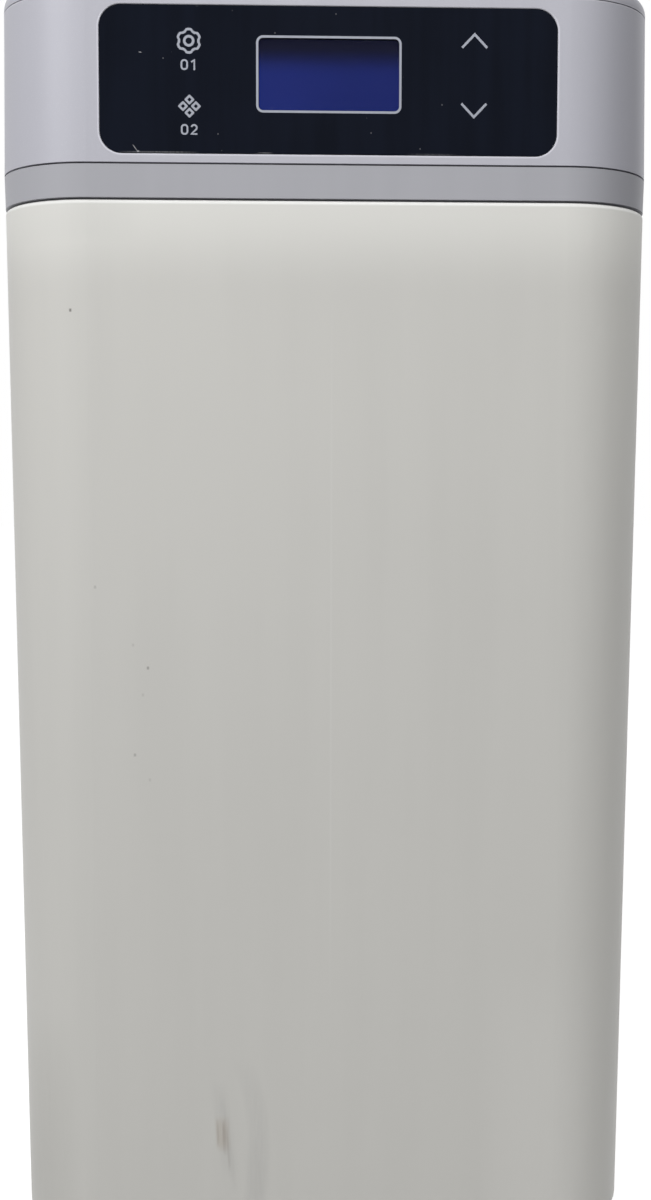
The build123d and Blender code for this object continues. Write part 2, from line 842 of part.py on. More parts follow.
def panel_pieces():
    """Fascia, window, display, board, key contacts, rear cover and its screws."""
    fascia = panel_slab(panel_width, panel_height, panel_radius, 0, panel_thickness)
    fascia = fascia - window_hole(0, -overrun, panel_pad)
    lens = window_hole(0, 0, panel_thickness)
    lcd = panel_slab(lcd_width, lcd_height, window_radius, panel_thickness, board_offset)
    lcd = Pos(0, 0, window_lift) * lcd
    board = panel_slab(board_width, board_height, window_radius, board_offset, board_offset + board_thickness)
    contacts = []
    for x, z in key_places:
        pad = bar_y(x, z, key_outer_radius, panel_thickness, board_offset)
        contacts.append(pad - bar_y(x, z, key_inner_radius, panel_thickness, board_offset))
    back = panel_pad + cover_depth
    corner = panel_radius / 2
    cover = panel_slab(cover_width, cover_height, corner, panel_pad, back)
    inner_width = cover_width - 4 * panel_ledge
    inner_height = cover_height - 2 * panel_ledge
    cover = cover - panel_slab(inner_width, inner_height, corner, panel_pad, back - cover_wall)
    lug_front = panel_pad + cover_wall
    depths = (lug_front, back + overrun)
    outer_skin = panel_slab(cover_width + 2 * overrun, cover_height + 2 * overrun, corner, *depths)
    inner_skin = panel_slab(inner_width + 2 * cover_wall, inner_height + 2 * cover_wall, corner, *depths)
    cover = cover - (outer_skin - inner_skin)
    for x in (-cover_post_x, cover_post_x):
        for z in (-cover_post_z, cover_post_z):
            board_back = board_offset + board_thickness
            cover = cover + bar_y(x, z, cover_post_radius, board_back, back - cover_wall / 2)
    for x, z in cover_screw_spots():
        cover = cover - bar_y(x, z, screw_hole_radius, panel_pad - overrun, lug_front + overrun)
    cover_screw = Rot(-90, 0, 0) * screw(1, cover_wall + cover_screw_length - overrun)
    screws = [Pos(x, lug_front, z) * cover_screw for x, z in cover_screw_spots()]
    cable_hole = bar_x(cable_y, cable_z, cable_radius + fit_gap, cable_start - 4 * cover_wall, cover_width)
    return {
        "panel_fascia": panel_place * fascia,
        "display_window": panel_place * lens,
        "lcd_module": panel_place * lcd,
        "control_board": panel_place * board,
        "touch_contacts": group(panel_place * pad for pad in contacts),
        "electronics_cover": panel_place * cover - cable_hole,
        "cover_screws": group(panel_place * piece for piece in screws),
    }


def control_cable():
    """Round cable from the electronics cover, along the chute, to the gear motor."""
    motor_side = motor_x + motor_radius
    start = (cable_start, cable_y, cable_z)
    route = [start, (cable_x, cable_y, cable_z), (cable_x, vessel_y, cable_z), (motor_side, vessel_y, cable_z)]
    path = FilletPolyline(*route, radius=[cable_bend, cable_bend])
    outline = Plane(origin=start, z_dir=(1, 0, 0)) * Circle(cable_radius)
    cable = sweep(outline, path)
    length = path.length
    print("control cable bend radius", cable_bend, "volume share of section times length",
          round(cable.volume / (pi * cable_radius**2 * length), 5))
    return cable


def cable_clips():
    """Clips that hold the cable against the chute's right-hand wall."""
    clips = []
    wall_face = chute_width / 2 + chute_wall
    outer = cable_radius + clip_wall
    for y in clip_places:
        end = y + clip_length
        ring = bar_y(cable_x, cable_z, outer, y, end)
        foot = block(wall_face, cable_x, y, end, cable_z - outer, cable_z + outer)
        clips.append(ring + foot - bar_y(cable_x, cable_z, cable_radius, y - overrun, end + overrun))
    return group(clips)


def port_plate():
    """Rear plate with holes for the two adapters, the drain and the power jack."""
    back = rear_plate_seat + rear_plate_thickness
    body = rear_slab(0, rear_plate_seat, back)
    holes = [(inlet_x, port_hole_radius), (outlet_x, port_hole_radius)]
    holes.append((vessel_x, drain_stem_radius + fit_gap))
    holes.append((jack_x, jack_radius))
    for x, radius in holes:
        body = body - bar_y(x, port_z, radius, rear_plate_seat - overrun, back + overrun)
    for x, z in rear_screw_spots():
        body = body - bar_y(x, z, screw_hole_radius, rear_plate_seat - overrun, back + overrun)
    return body


def port_plate_screws():
    """Four screws in the rear plate's corners."""
    back = rear_plate_seat + rear_plate_thickness
    length = rear_plate_thickness + rear_pad - overrun
    return group(Pos(x, back, z) * Rot(-90, 0, 0) * screw(1, length) for x, z in rear_screw_spots())


def power_jack():
    """Low-voltage socket with its contact pin."""
    back = rear_plate_seat + rear_plate_thickness
    front = back - jack_length
    face = back + jack_flange
    body = bar_y(jack_x, port_z, jack_radius, front, back)
    body = body + bar_y(jack_x, port_z, jack_flange_radius, back, face)
    body = body - bar_y(jack_x, port_z, jack_bore, face - jack_bore_depth, face + overrun)
    return body + bar_y(jack_x, port_z, jack_pin_radius, face - jack_bore_depth, face - overrun)


def hose_tail(radius):
    """Plain root from zero up, then barbs that narrow towards the tip and stay inside its radius."""
    body = post(0, 0, radius, 0, hose_neck_length)
    barb = Pos(0, 0, hose_barb_length / 2) * Cone(radius, radius - hose_barb, hose_barb_length)
    for step in range(hose_barb_count):
        body = body + Pos(0, 0, hose_neck_length + step * hose_barb_length) * barb
    return body


def overflow_pieces():
    """Elbow with a hose tail, its washer, and the nut inside the tank wall."""
    washer = post(0, 0, overflow_flange_radius, 0, washer_thickness)
    washer = washer - post(0, 0, overflow_radius, -overrun, washer_thickness + overrun)
    flange_top = washer_thickness + overflow_flange
    stem_low = -tank_wall - overflow_grip
    elbow = post(0, 0, overflow_flange_radius, washer_thickness, flange_top)
    elbow = elbow + post(0, 0, overflow_radius, stem_low, flange_top)
    elbow = elbow + post(0, 0, overflow_knee_radius, flange_top, overflow_reach)
    knee = Pos(0, 0, overflow_reach)
    elbow = elbow + knee * Sphere(overflow_knee_radius)
    elbow = elbow + knee * bar_x(0, 0, overflow_knee_radius, 0, overflow_shoulder)
    elbow = elbow + knee * Pos(overflow_shoulder, 0, 0) * Rot(0, 90, 0) * hose_tail(overflow_radius)
    elbow = elbow - post(0, 0, overflow_bore, stem_low - overrun, overflow_reach)
    elbow = elbow - knee * bar_x(0, 0, overflow_bore, 0, overflow_drop + overrun)
    elbow = elbow - knee * Sphere(overflow_bore)
    nut_low = -tank_wall - overflow_nut_height
    nut = hex_post(overflow_nut_flats, nut_low, -tank_wall)
    nut = nut - post(0, 0, overflow_radius, nut_low - overrun, overrun)
    return side_place * elbow, side_place * washer, side_place * nut


def resin_vessel():
    """Blow-moulded pressure vessel with a threaded neck, shown with plain bores."""
    height = vessel_shoulder - vessel_low
    outer = Pos(0, 0, vessel_low + height / 2) * Cylinder(vessel_radius, height)
    outer = fillet(outer.edges().filter_by(GeomType.CIRCLE).sort_by(Axis.Z)[-1], vessel_top_round)
    outer = fillet(outer.edges().filter_by(GeomType.CIRCLE).sort_by(Axis.Z)[0], vessel_bottom_round)
    inner_height = height - 2 * vessel_wall
    inner = Pos(0, 0, vessel_low + height / 2) * Cylinder(vessel_radius - vessel_wall, inner_height)
    top_round = vessel_top_round - vessel_wall
    bottom_round = vessel_bottom_round - vessel_wall
    inner = fillet(inner.edges().filter_by(GeomType.CIRCLE).sort_by(Axis.Z)[-1], top_round)
    inner = fillet(inner.edges().filter_by(GeomType.CIRCLE).sort_by(Axis.Z)[0], bottom_round)
    neck = post(0, 0, neck_radius, vessel_shoulder - 2 * vessel_wall, neck_top)
    bore = post(0, 0, neck_bore, vessel_shoulder - 4 * vessel_wall, neck_top + overrun)
    return valve_place * (outer + neck - inner - bore)


def vessel_base():
    """Black boot that holds the round vessel upright on the tank's floor."""
    inner_radius = vessel_radius + fit_gap
    outer_radius = inner_radius + boot_wall
    body = post(0, 0, outer_radius, floor_top, floor_top + boot_height)
    body = body - post(0, 0, inner_radius, vessel_low, floor_top + boot_height + overrun)
    body = body - post(0, 0, inner_radius - boot_wall, floor_top - overrun, vessel_low - boot_floor)
    body = body - post(0, 0, vessel_radius - vessel_bottom_round - boot_wall, floor_top, vessel_low + overrun)
    return valve_place * body


def tube(radius, wall, z0, z1):
    """Upright round tube on the origin."""
    return post(0, 0, radius, z0, z1) - post(0, 0, radius - wall, z0 - overrun, z1 + overrun)


def slotted(body, radius, z0, z1):
    """Cut a ring of upright slots through a round wall."""
    for index in range(slot_count):
        slot = block(0, 2 * radius, -slot_width / 2, slot_width / 2, z0, z1)
        body = body - Rot(0, 0, index * full_turn / slot_count) * slot
    return body


def basket_low():
    """Height of the lower strainer's foot on the vessel's bottom."""
    return vessel_low + vessel_wall


def strainers():
    """Lower strainer basket on the riser, and the collector under the valve."""
    low = basket_low()
    top = low + basket_height
    basket = post(0, 0, basket_radius, low, top)
    basket = basket - post(0, 0, basket_radius - basket_wall, low + basket_wall, top - basket_wall)
    basket = slotted(basket, basket_radius, low + 2 * basket_wall, top - 2 * basket_wall)
    basket = basket + post(0, 0, riser_radius + basket_wall, top - basket_wall, top + basket_wall)
    basket = basket - post(0, 0, riser_radius, riser_low, top + 2 * basket_wall)
    stub_low = neck_top - stub_length
    collector = tube(collector_radius, collector_wall, collector_low, stub_low + collector_grip)
    floor_high = collector_low + collector_wall
    collector = slotted(collector, collector_radius, floor_high + collector_wall, stub_low - collector_wall)
    floor = tube(collector_radius, collector_radius - riser_radius, collector_low, floor_high)
    return valve_place * basket, valve_place * (collector + floor)


def resin_bed():
    """Packed resin beads as one closed body around the riser and the basket."""
    low = basket_low()
    radius = vessel_radius - vessel_wall
    bed = Pos(0, 0, (low + bed_top) / 2) * Cylinder(radius, bed_top - low)
    foot_edge = bed.edges().filter_by(GeomType.CIRCLE).sort_by(Axis.Z)[0]
    bed = fillet(foot_edge, vessel_bottom_round - vessel_wall)
    bed = bed - post(0, 0, riser_radius, low - overrun, bed_top + overrun)
    bed = bed - post(0, 0, basket_radius, low - overrun, low + basket_height)
    bed = bed - post(0, 0, riser_radius + basket_wall, low, low + basket_height + basket_wall)
    return valve_place * bed


def seal_level():
    """Height of the neck seal's centre, half way down the valve's stub."""
    return neck_top - stub_length / 2


def neck_seal_ring(extra):
    """Square ring that cuts the seal's groove in the stub."""
    outer = neck_bore
    inner = neck_bore - 2 * seal_round
    z0 = seal_level() - seal_round - extra
    z1 = seal_level() + seal_round + extra
    return tube(outer, outer - inner, z0, z1)


def valve_body():
    """Moulded valve: stub in the neck, barrel, chamber for the discs and the rear port block."""
    stub_low = neck_top - stub_length
    stub = post(0, 0, neck_bore - stub_gap, stub_low, neck_top)
    flange = post(0, 0, neck_radius, neck_top, neck_top + flange_height)
    chamber_low = port_z - block_half_height
    barrel = post(0, 0, barrel_radius, neck_top + flange_height, chamber_low)
    chamber = post(0, 0, chamber_radius, chamber_low, plate_seat)
    body = stub + flange + barrel + chamber
    manifold = block(
        -block_half_width, block_half_width, block_front - vessel_y, block_rear - vessel_y,
        port_z - block_half_height, port_z + block_half_height,
    )
    manifold = fillet(manifold.edges().filter_by(Axis.Y), block_radius)
    body = body + manifold
    lug_low = plate_seat - lug_height
    lug = post(lug_ring, 0, lug_radius, lug_low, plate_seat)
    lug = lug + block(chamber_bore + seal_round, lug_ring, -lug_radius / 2, lug_radius / 2, lug_low, plate_seat)
    for angle in lug_angles():
        body = body + Rot(0, 0, angle) * lug
    injector = bar_y(0, injector_z, injector_boss_radius, -injector_boss_reach, 0)
    arm_place = Pos(0, 0, brine_z) * Rot(0, 0, degrees(brine_turn))
    body = body + injector + arm_place * bar_x(0, 0, brine_boss_radius, 0, brine_boss_reach)
    rear = block_rear - vessel_y
    for x in (-port_spacing / 2, port_spacing / 2):
        body = body + bar_y(x, port_z, port_bore + spigot_wall, rear, rear + spigot_length)
    riser_top = riser_high
    body = body - post(0, 0, collector_radius, stub_low - overrun, riser_top - riser_seat_height)
    body = body - post(0, 0, riser_radius, stub_low, riser_top)
    body = body - post(0, 0, riser_radius - riser_wall, riser_top - overrun, disc_seat)
    body = body - post(0, 0, chamber_bore, disc_seat, plate_seat + overrun)
    body = body - neck_seal_ring(0)
    for x in (-port_spacing / 2, port_spacing / 2):
        passage_front = block_front - vessel_y + block_radius
        body = body - bar_y(x, port_z, port_bore, passage_front, rear + spigot_length + overrun)
    cross_y = block_front - vessel_y + block_radius + port_bore
    body = body - bar_x(cross_y, port_z, cross_bore, -port_spacing / 2, port_spacing / 2)
    body = body - bar_y(0, port_z, centre_bore, 0, cross_y)
    body = body - bar_y(0, port_z, drain_thread_radius, rear - drain_start_length, rear + overrun)
    injector_face = -injector_boss_reach
    injector_end = injector_face + injector_bore_depth
    body = body - bar_y(0, injector_z, injector_bore, injector_face - overrun, injector_end)
    tube_seat = brine_boss_reach - brine_grip
    tube_inner = brine_tube_radius - brine_tube_wall
    arm_hole = bar_x(0, 0, brine_tube_radius, tube_seat, brine_boss_reach + overrun)
    arm_hole = arm_hole + bar_x(0, 0, tube_inner, collector_radius, tube_seat + overrun)
    body = body - arm_place * arm_hole
    screw_hole = post(lug_ring, 0, screw_radius, plate_seat - screw_bite, plate_seat + overrun)
    for angle in lug_angles():
        body = body - Rot(0, 0, angle) * screw_hole
    return valve_place * body


def lug_angles():
    """Directions of the drive plate's screw lugs round the valve's axis, in degrees."""
    return [lug_angle + step * full_turn / lug_count for step in range(lug_count)]


def neck_o_ring():
    """Round-section ring between the valve's stub and the neck."""
    return valve_place * Pos(0, 0, seal_level()) * Torus(neck_bore - seal_round, seal_round)


def port_adapter(x):
    """Brass tail piece with a hexagon and a male pipe thread, shown at its outer diameter."""
    start = block_rear + spigot_length + washer_thickness
    body = bar_y(x, port_z, thread_radius - fit_gap, start, start + collar_thickness)
    body = body + bar_y(x, port_z, adapter_neck_radius, start, adapter_hex_start)
    body = body + hex_y(x, port_z, adapter_hex_flats, adapter_hex_start, adapter_hex_end)
    thread_start = adapter_hex_end + adapter_relief
    body = body + bar_y(x, port_z, adapter_neck_radius, adapter_hex_end, thread_start)
    body = body + bar_y(x, port_z, thread_radius, thread_start, thread_start + thread_length)
    return body - bar_y(x, port_z, adapter_bore, start - overrun, thread_start + thread_length + overrun)


def port_washers():
    """Flat washers between the valve's spigots and the adapters."""
    start = block_rear + spigot_length
    rings = []
    for x in (inlet_x, outlet_x):
        ring = bar_y(x, port_z, thread_radius - fit_gap, start, start + washer_thickness)
        rings.append(ring - bar_y(x, port_z, port_bore, start - overrun, start + 2 * washer_thickness))
    return group(rings)


def union_nuts():
    """Hexagonal nuts that clamp the adapters to the valve."""
    nuts = []
    start = block_rear + nut_setback
    collar_end = block_rear + spigot_length + washer_thickness + collar_thickness
    for x in (inlet_x, outlet_x):
        nut = hex_y(x, port_z, nut_flats, start, collar_end + nut_lip)
        nut = nut - bar_y(x, port_z, port_bore + spigot_wall, start - overrun, collar_end)
        nuts.append(nut - bar_y(x, port_z, adapter_neck_radius, collar_end - overrun, collar_end + 2 * nut_lip))
    return group(nuts)


def drain_fitting():
    """Hose tail for the drain: hexagon, stem through the rear plate, plain root and barbs."""
    start = block_rear - drain_start_length
    hex_end = block_rear + drain_hex_length
    tail_start = drain_end - hose_neck_length - hose_barb_count * hose_barb_length
    body = bar_y(vessel_x, port_z, drain_thread_radius, start, block_rear)
    body = body + hex_y(vessel_x, port_z, drain_hex_flats, block_rear, hex_end)
    body = body + bar_y(vessel_x, port_z, drain_stem_radius, hex_end, tail_start)
    body = body + Pos(vessel_x, tail_start, port_z) * Rot(-90, 0, 0) * hose_tail(drain_radius)
    return body - bar_y(vessel_x, port_z, drain_bore, start - overrun, drain_end + overrun)


def injector_cap():
    """Plug that closes the injector boss at the valve's front."""
    face = vessel_y - injector_boss_reach
    body = bar_y(vessel_x, injector_z, injector_bore, face, face + injector_cap_grip)
    body = body + bar_y(vessel_x, injector_z, injector_cap_radius, face - injector_cap_height, face)
    slot = block(
        vessel_x - injector_cap_radius, vessel_x + injector_cap_radius,
        face - injector_cap_height - overrun, face - injector_cap_height / 2,
        injector_z - cross_width, injector_z + cross_width,
    )
    return body - slot


def disc(radius, z0, z1):
    """Ceramic disc with its water ports."""
    body = post(0, 0, radius, z0, z1)
    hole = post(disc_port_ring, 0, disc_port_radius, z0 - overrun, z1 + overrun)
    for step in range(disc_port_count):
        body = body - Rot(0, 0, disc_first_port + step * full_turn / disc_port_count) * hole
    return body


def disc_pair():
    """The fixed disc on its seat and the turning disc above it."""
    top = disc_seat + fixed_disc_height
    fixed = disc(chamber_bore - fit_gap, disc_seat, top)
    moving_low = top + disc_gap
    moving = disc(chamber_bore - 2 * fit_gap, moving_low, moving_low + moving_disc_height)
    return valve_place * fixed, valve_place * moving


def drive_shaft():
    """Shaft with the flange that turns the moving disc."""
    flange = post(0, 0, shaft_flange_radius, disc_top, disc_top + shaft_flange_height)
    return valve_place * (flange + post(0, 0, shaft_radius, disc_top, plate_face + shaft_rise))


def plate_hub_low():
    """Underside of the drive plate's hub."""
    return plate_seat - plate_hub_depth + drive_plate_thickness


def shaft_seal():
    """Lip seal round the shaft, in the hub's pocket."""
    low = plate_hub_low()
    ring = post(0, 0, seal_pocket_radius, low, low + seal_height)
    return valve_place * (ring - post(0, 0, shaft_radius + run_gap, low - overrun, low + seal_height + overrun))


def drive_plate():
    """Cover of the disc chamber, which also carries the motor and the position sensor."""
    low = plate_seat
    reach = motor_x - vessel_x
    body = post(0, 0, plate_rim_radius, low, plate_face)
    body = body + post(reach, 0, motor_pad_radius, low, plate_face)
    body = body + block(0, reach, -motor_pad_radius, motor_pad_radius, low, plate_face)
    body = body + block(-tab_width / 2, tab_width / 2, -tab_reach, 0, low, plate_face)
    hub_low = plate_hub_low()
    body = body + post(0, 0, plate_hub_radius, hub_low, low)
    body = body - post(0, 0, seal_pocket_radius, hub_low - overrun, hub_low + seal_height)
    body = body - post(0, 0, shaft_radius + run_gap, hub_low - overrun, plate_face + overrun)
    body = body - post(reach, 0, motor_shaft_radius + run_gap, low - overrun, plate_face + overrun)
    for x, y in drive_screw_spots():
        body = body - post(x, y, screw_radius + fit_gap, low - overrun, plate_face + overrun)
    return valve_place * body


def drive_screw_spots():
    """Places of the four plate screws and the two motor screws, from the valve's axis."""
    spots = [(lug_ring * cos(radians(angle)), lug_ring * sin(radians(angle))) for angle in lug_angles()]
    reach = motor_x - vessel_x
    return spots + [(reach, -motor_screw_ring), (reach, motor_screw_ring)]


def drive_screws():
    """Screws that hold the drive plate and the motor."""
    length = drive_plate_thickness + screw_bite - overrun
    return group(valve_place * Pos(x, y, plate_face) * screw(1, length) for x, y in drive_screw_spots())


def gear_face(teeth):
    """Involute gear outline with its first tooth on the +X axis."""
    pitch = gear_module * teeth / 2
    base = pitch * cos(radians(gear_pressure_angle))
    tip = pitch + gear_module
    root = pitch - 1.25 * gear_module
    half_tooth = pi / (2 * teeth) - gear_backlash / (4 * pitch)
    flank_start = max(base, root)
    steps = 5

    def involute(radius):
        angle = acos(min(base / radius, 1))
        return tan(angle) - angle

    flank = []
    for step in range(steps):
        radius = flank_start + (tip - flank_start) * step / (steps - 1)
        flank.append((radius, half_tooth + involute(pitch) - involute(radius)))
    if root < base:
        flank.insert(0, (root, flank[0][1]))
    points = []
    for tooth in range(teeth):
        centre = 2 * pi * tooth / teeth
        for radius, half in flank:
            points.append((radius * cos(centre - half), radius * sin(centre - half)))
        for radius, half in reversed(flank):
            points.append((radius * cos(centre + half), radius * sin(centre + half)))
    return make_face(Polyline(*points, close=True))


def drive_gear():
    """Large gear on the valve's shaft, with a hub, lightening holes and a magnet pocket."""
    body = extrude(Pos(0, 0, gear_low) * gear_face(gear_teeth), gear_thickness)
    body = body + post(0, 0, gear_hub_radius, plate_face + run_gap, gear_high)
    body = body - post(0, 0, shaft_radius, plate_face - overrun, gear_high + overrun)
    for step in range(gear_window_count):
        window = post(gear_window_ring, 0, gear_window_radius, gear_low - overrun, gear_high + overrun)
        body = body - Rot(0, 0, step * full_turn / gear_window_count) * window
    body = body - post(0, -magnet_ring, magnet_radius, gear_high - magnet_height, gear_high + overrun)
    return valve_place * body


def drive_pinion():
    """Small gear on the motor's shaft, turned so that a gap faces the large gear's tooth."""
    turn = Rot(0, 0, full_turn / pinion_teeth / 2)
    body = turn * extrude(Pos(0, 0, gear_low) * gear_face(pinion_teeth), gear_thickness)
    body = body - post(0, 0, motor_shaft_radius, gear_low - overrun, gear_high + overrun)
    return Pos(motor_x, vessel_y, 0) * body


def gear_motor():
    """Gearbox with the motor can below it."""
    low = plate_seat - motor_gearbox_height
    body = post(0, 0, motor_radius, low, plate_seat)
    body = body + post(0, 0, motor_can_radius, low - motor_can_height, low)
    shaft_end = plate_seat - motor_shaft_grip - run_gap
    body = body - post(0, 0, motor_shaft_radius + run_gap, shaft_end, plate_seat + overrun)
    for y in (-motor_screw_ring, motor_screw_ring):
        body = body - post(0, y, screw_radius, plate_seat - screw_bite, plate_seat + overrun)
    return Pos(motor_x, vessel_y, 0) * body


def motor_shaft():
    """Output shaft of the gear motor."""
    return post(motor_x, vessel_y, motor_shaft_radius, plate_seat - motor_shaft_grip, gear_high + overrun)


def position_sensor():
    """Sensor block on the plate's tab, beside the gear's rim."""
    y0 = vessel_y - tab_reach
    half = sensor_width / 2
    body = block(-half, half, y0, y0 + sensor_depth, plate_face, plate_face + sensor_height)
    return Pos(vessel_x, 0, 0) * body


def index_magnet():
    """Magnet in the gear's top face."""
    return valve_place * post(0, -magnet_ring, magnet_radius, gear_high - magnet_height, gear_high)


def brine_line():
    """Straight brine tube between the safety valve's nipple and the control valve."""
    start = brine_boss_reach - brine_grip
    end = brine_span - well_radius - nipple_reach + brine_grip
    inner_radius = brine_tube_radius - brine_tube_wall
    body = bar_x(0, 0, brine_tube_radius, start, end)
    return brine_place * (body - bar_x(0, 0, inner_radius, start - overrun, end + overrun))


def brine_well():
    """Upright tube on the tank's floor, slotted at its foot, with a hole for the nipple."""
    body = tube(well_radius, well_wall, floor_top, well_top)
    low = floor_top + well_slot_lift
    half = well_slot_width / 2
    slot = block(0, 2 * well_radius, -half, half, low, low + well_slot_height)
    for step in range(well_slot_count):
        body = body - Rot(0, 0, (step + 1 / 2) * full_turn / well_slot_count) * slot
    body = body - bar_x(0, brine_z, nipple_radius, -2 * well_radius, 0)
    return well_place * body


def well_cap():
    """Push-on cap of the brine well."""
    outer = well_radius + well_cap_lip
    body = post(0, 0, outer, well_top - well_cap_skirt, well_top + well_cap_thickness)
    body = body - post(0, 0, well_radius, well_top - well_cap_skirt - overrun, well_top)
    return well_place * (body - bar_x(0, brine_z, nipple_radius + fit_gap, -2 * well_radius, 0))


def float_valve():
    """Safety valve hung in the well: flange, stem chamber, pickup boss and nipple."""
    top = well_top
    low = top - float_valve_drop - float_valve_height
    body = post(0, 0, float_valve_radius, low, top)
    body = body + post(0, 0, well_radius - well_wall, top - float_flange_thickness, top)
    boss_high = low + pickup_boss_height
    body = body + post(pickup_offset, 0, pickup_boss_radius, low, boss_high)
    body = body + block(0, pickup_offset, -pickup_radius, pickup_radius, low, boss_high)
    nipple_end = well_radius + nipple_reach
    body = body + bar_x(0, brine_z, nipple_radius, -nipple_end, 0)
    head_low = low + stem_wall
    chamber_top = head_low + rod_head_height + float_travel + overrun
    body = body - post(0, 0, rod_radius + run_gap, low - overrun, head_low + overrun)
    body = body - post(0, 0, rod_head_radius + fit_gap, head_low, chamber_top)
    body = body - post(pickup_offset, 0, pickup_radius, low - overrun, low + pickup_grip)
    tube_end = brine_grip - nipple_end
    tube_inner = brine_tube_radius - brine_tube_wall
    body = body - bar_x(0, brine_z, brine_tube_radius, -nipple_end - overrun, tube_end)
    body = body - bar_x(0, brine_z, tube_inner, tube_end - overrun, -rod_head_radius)
    return well_place * body


def float_pieces():
    """Rod with its stop head, the float, and the two grommets that hold it."""
    low = well_top - float_valve_drop - float_valve_height
    head_low = low + stem_wall + run_gap
    rod = post(0, 0, rod_radius, rod_low, head_low)
    rod = rod + post(0, 0, rod_head_radius, head_low, head_low + rod_head_height)
    hole = post(0, 0, rod_radius, rod_low, low)
    float_high = float_low + float_height
    cup = post(0, 0, float_radius, float_low, float_high)
    cup = fillet(cup.edges().filter_by(GeomType.CIRCLE), grommet_radius) - hole
    lower = post(0, 0, grommet_radius, float_low - grommet_height, float_low) - hole
    upper = post(0, 0, grommet_radius, float_high, float_high + grommet_height) - hole
    return well_place * rod, well_place * cup, group([well_place * lower, well_place * upper])


def air_check():
    """Pickup pipe with the air check at its foot."""
    low = well_top - float_valve_drop - float_valve_height
    foot = floor_top + check_lift
    pipe_low = foot + check_height
    body = post(pickup_offset, 0, pickup_radius, pipe_low, low + pickup_grip)
    body = body - post(pickup_offset, 0, pickup_radius - pickup_wall, pipe_low, low + 2 * pickup_grip)
    cage = post(pickup_offset, 0, check_radius, foot, foot + check_height)
    cage = fillet(cage.edges().filter_by(GeomType.CIRCLE), pickup_wall)
    body = body + cage + post(pickup_offset, 0, pickup_radius, floor_top, foot + overrun)
    return well_place * body


def salt_grid():
    """Slotted plate on six legs that keeps the salt off the tank's floor."""
    low = grid_top - grid_thickness
    half = casing_width / 2
    body = casing_block(low, grid_top, tank_wall + grid_gap)
    body = body & block(-half, half, -casing_depth, grid_rear, low, grid_top)
    y_start = grid_rear - inset_at(low) + (-casing_depth / 2 - grid_rear) / 2
    count = int((casing_width / 2 - corner_radius) / grid_slot_pitch)
    columns = [side * step for side in (-1, 1) for step in range(1, count + 1)]
    half_slot = grid_slot_width / 2
    half_length = grid_slot_length / 2
    slot = block(-half_slot, half_slot, -half_length, half_length, low - overrun, grid_top + overrun)
    for row in range(grid_slot_rows):
        y = y_start + (row - (grid_slot_rows - 1) / 2) * (grid_slot_length + grid_slot_pitch)
        for column in columns:
            body = body - Pos(column * grid_slot_pitch, y, 0) * slot
    for x in (-grid_leg_x, 0, grid_leg_x):
        for y in (grid_leg_front, grid_leg_rear):
            leg = post(x, y, grid_leg_radius, floor_top, grid_top)
            body = body + leg - post(x, y, grid_leg_bore, floor_top - overrun, low)
    return body


# Casing
save("cabinet_tank", cabinet_tank())
save("deck_collar", deck_collar())
save("head_shell", head_shell())
save("salt_chute", salt_chute())
save("salt_lid", salt_lid())
save("lid_hinge_pins", hinge_pins())
save("lid_bumpers", lid_bumpers())
save("valve_hood", valve_hood())
head_screws, hood_screws = casing_screws()
save("head_screws", head_screws)
save("hood_screws", hood_screws)

# Control panel and its cable
for piece_name, piece in panel_pieces().items():
    save(piece_name, piece)
save("control_cable", control_cable())
save("cable_clips", cable_clips())

# Rear connections and the overflow
save("port_plate", port_plate())
save("port_plate_screws", port_plate_screws())
save("power_jack", power_jack())
elbow_piece, washer_piece, nut_piece = overflow_pieces()
save("overflow_elbow", elbow_piece)
save("overflow_gasket", washer_piece)
save("overflow_nut", nut_piece)
save("inlet_adapter", port_adapter(inlet_x))
save("outlet_adapter", port_adapter(outlet_x))
save("port_seals", port_washers())
save("union_nuts", union_nuts())
save("drain_fitting", drain_fitting())

# Resin vessel
save("resin_vessel", resin_vessel())
save("vessel_base", vessel_base())
save("riser_pipe", valve_place * tube(riser_radius, riser_wall, riser_low, riser_high))
lower_basket, upper_collector = strainers()
save("lower_strainer", lower_basket)
save("upper_strainer", upper_collector)
save("resin_bed", resin_bed())
save("neck_o_ring", neck_o_ring())

# Control valve and its drive
save("valve_body", valve_body())
save("injector_cap", injector_cap())
lower_disc, upper_disc = disc_pair()
save("fixed_disc", lower_disc)
save("moving_disc", upper_disc)
save("drive_shaft", drive_shaft())
save("shaft_seal", shaft_seal())
save("drive_plate", drive_plate())
save("drive_screws", drive_screws())
save("drive_gear", drive_gear())
save("index_magnet", index_magnet())
save("gear_motor", gear_motor())
save("motor_shaft", motor_shaft())
save("drive_pinion", drive_pinion())
save("position_sensor", position_sensor())

# Brine side
save("brine_line", brine_line())
save("brine_well", brine_well())
save("well_cap", well_cap())
save("float_valve", float_valve())
rod_piece, cup_piece, grommet_pieces = float_pieces()
save("float_rod", rod_piece)
save("float_cup", cup_piece)
save("float_grommets", grommet_pieces)
save("air_check", air_check())
save("salt_grid", salt_grid())
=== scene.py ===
import json
from math import atan, pi

import bpy
import numpy as np
from mathutils import Matrix, Vector

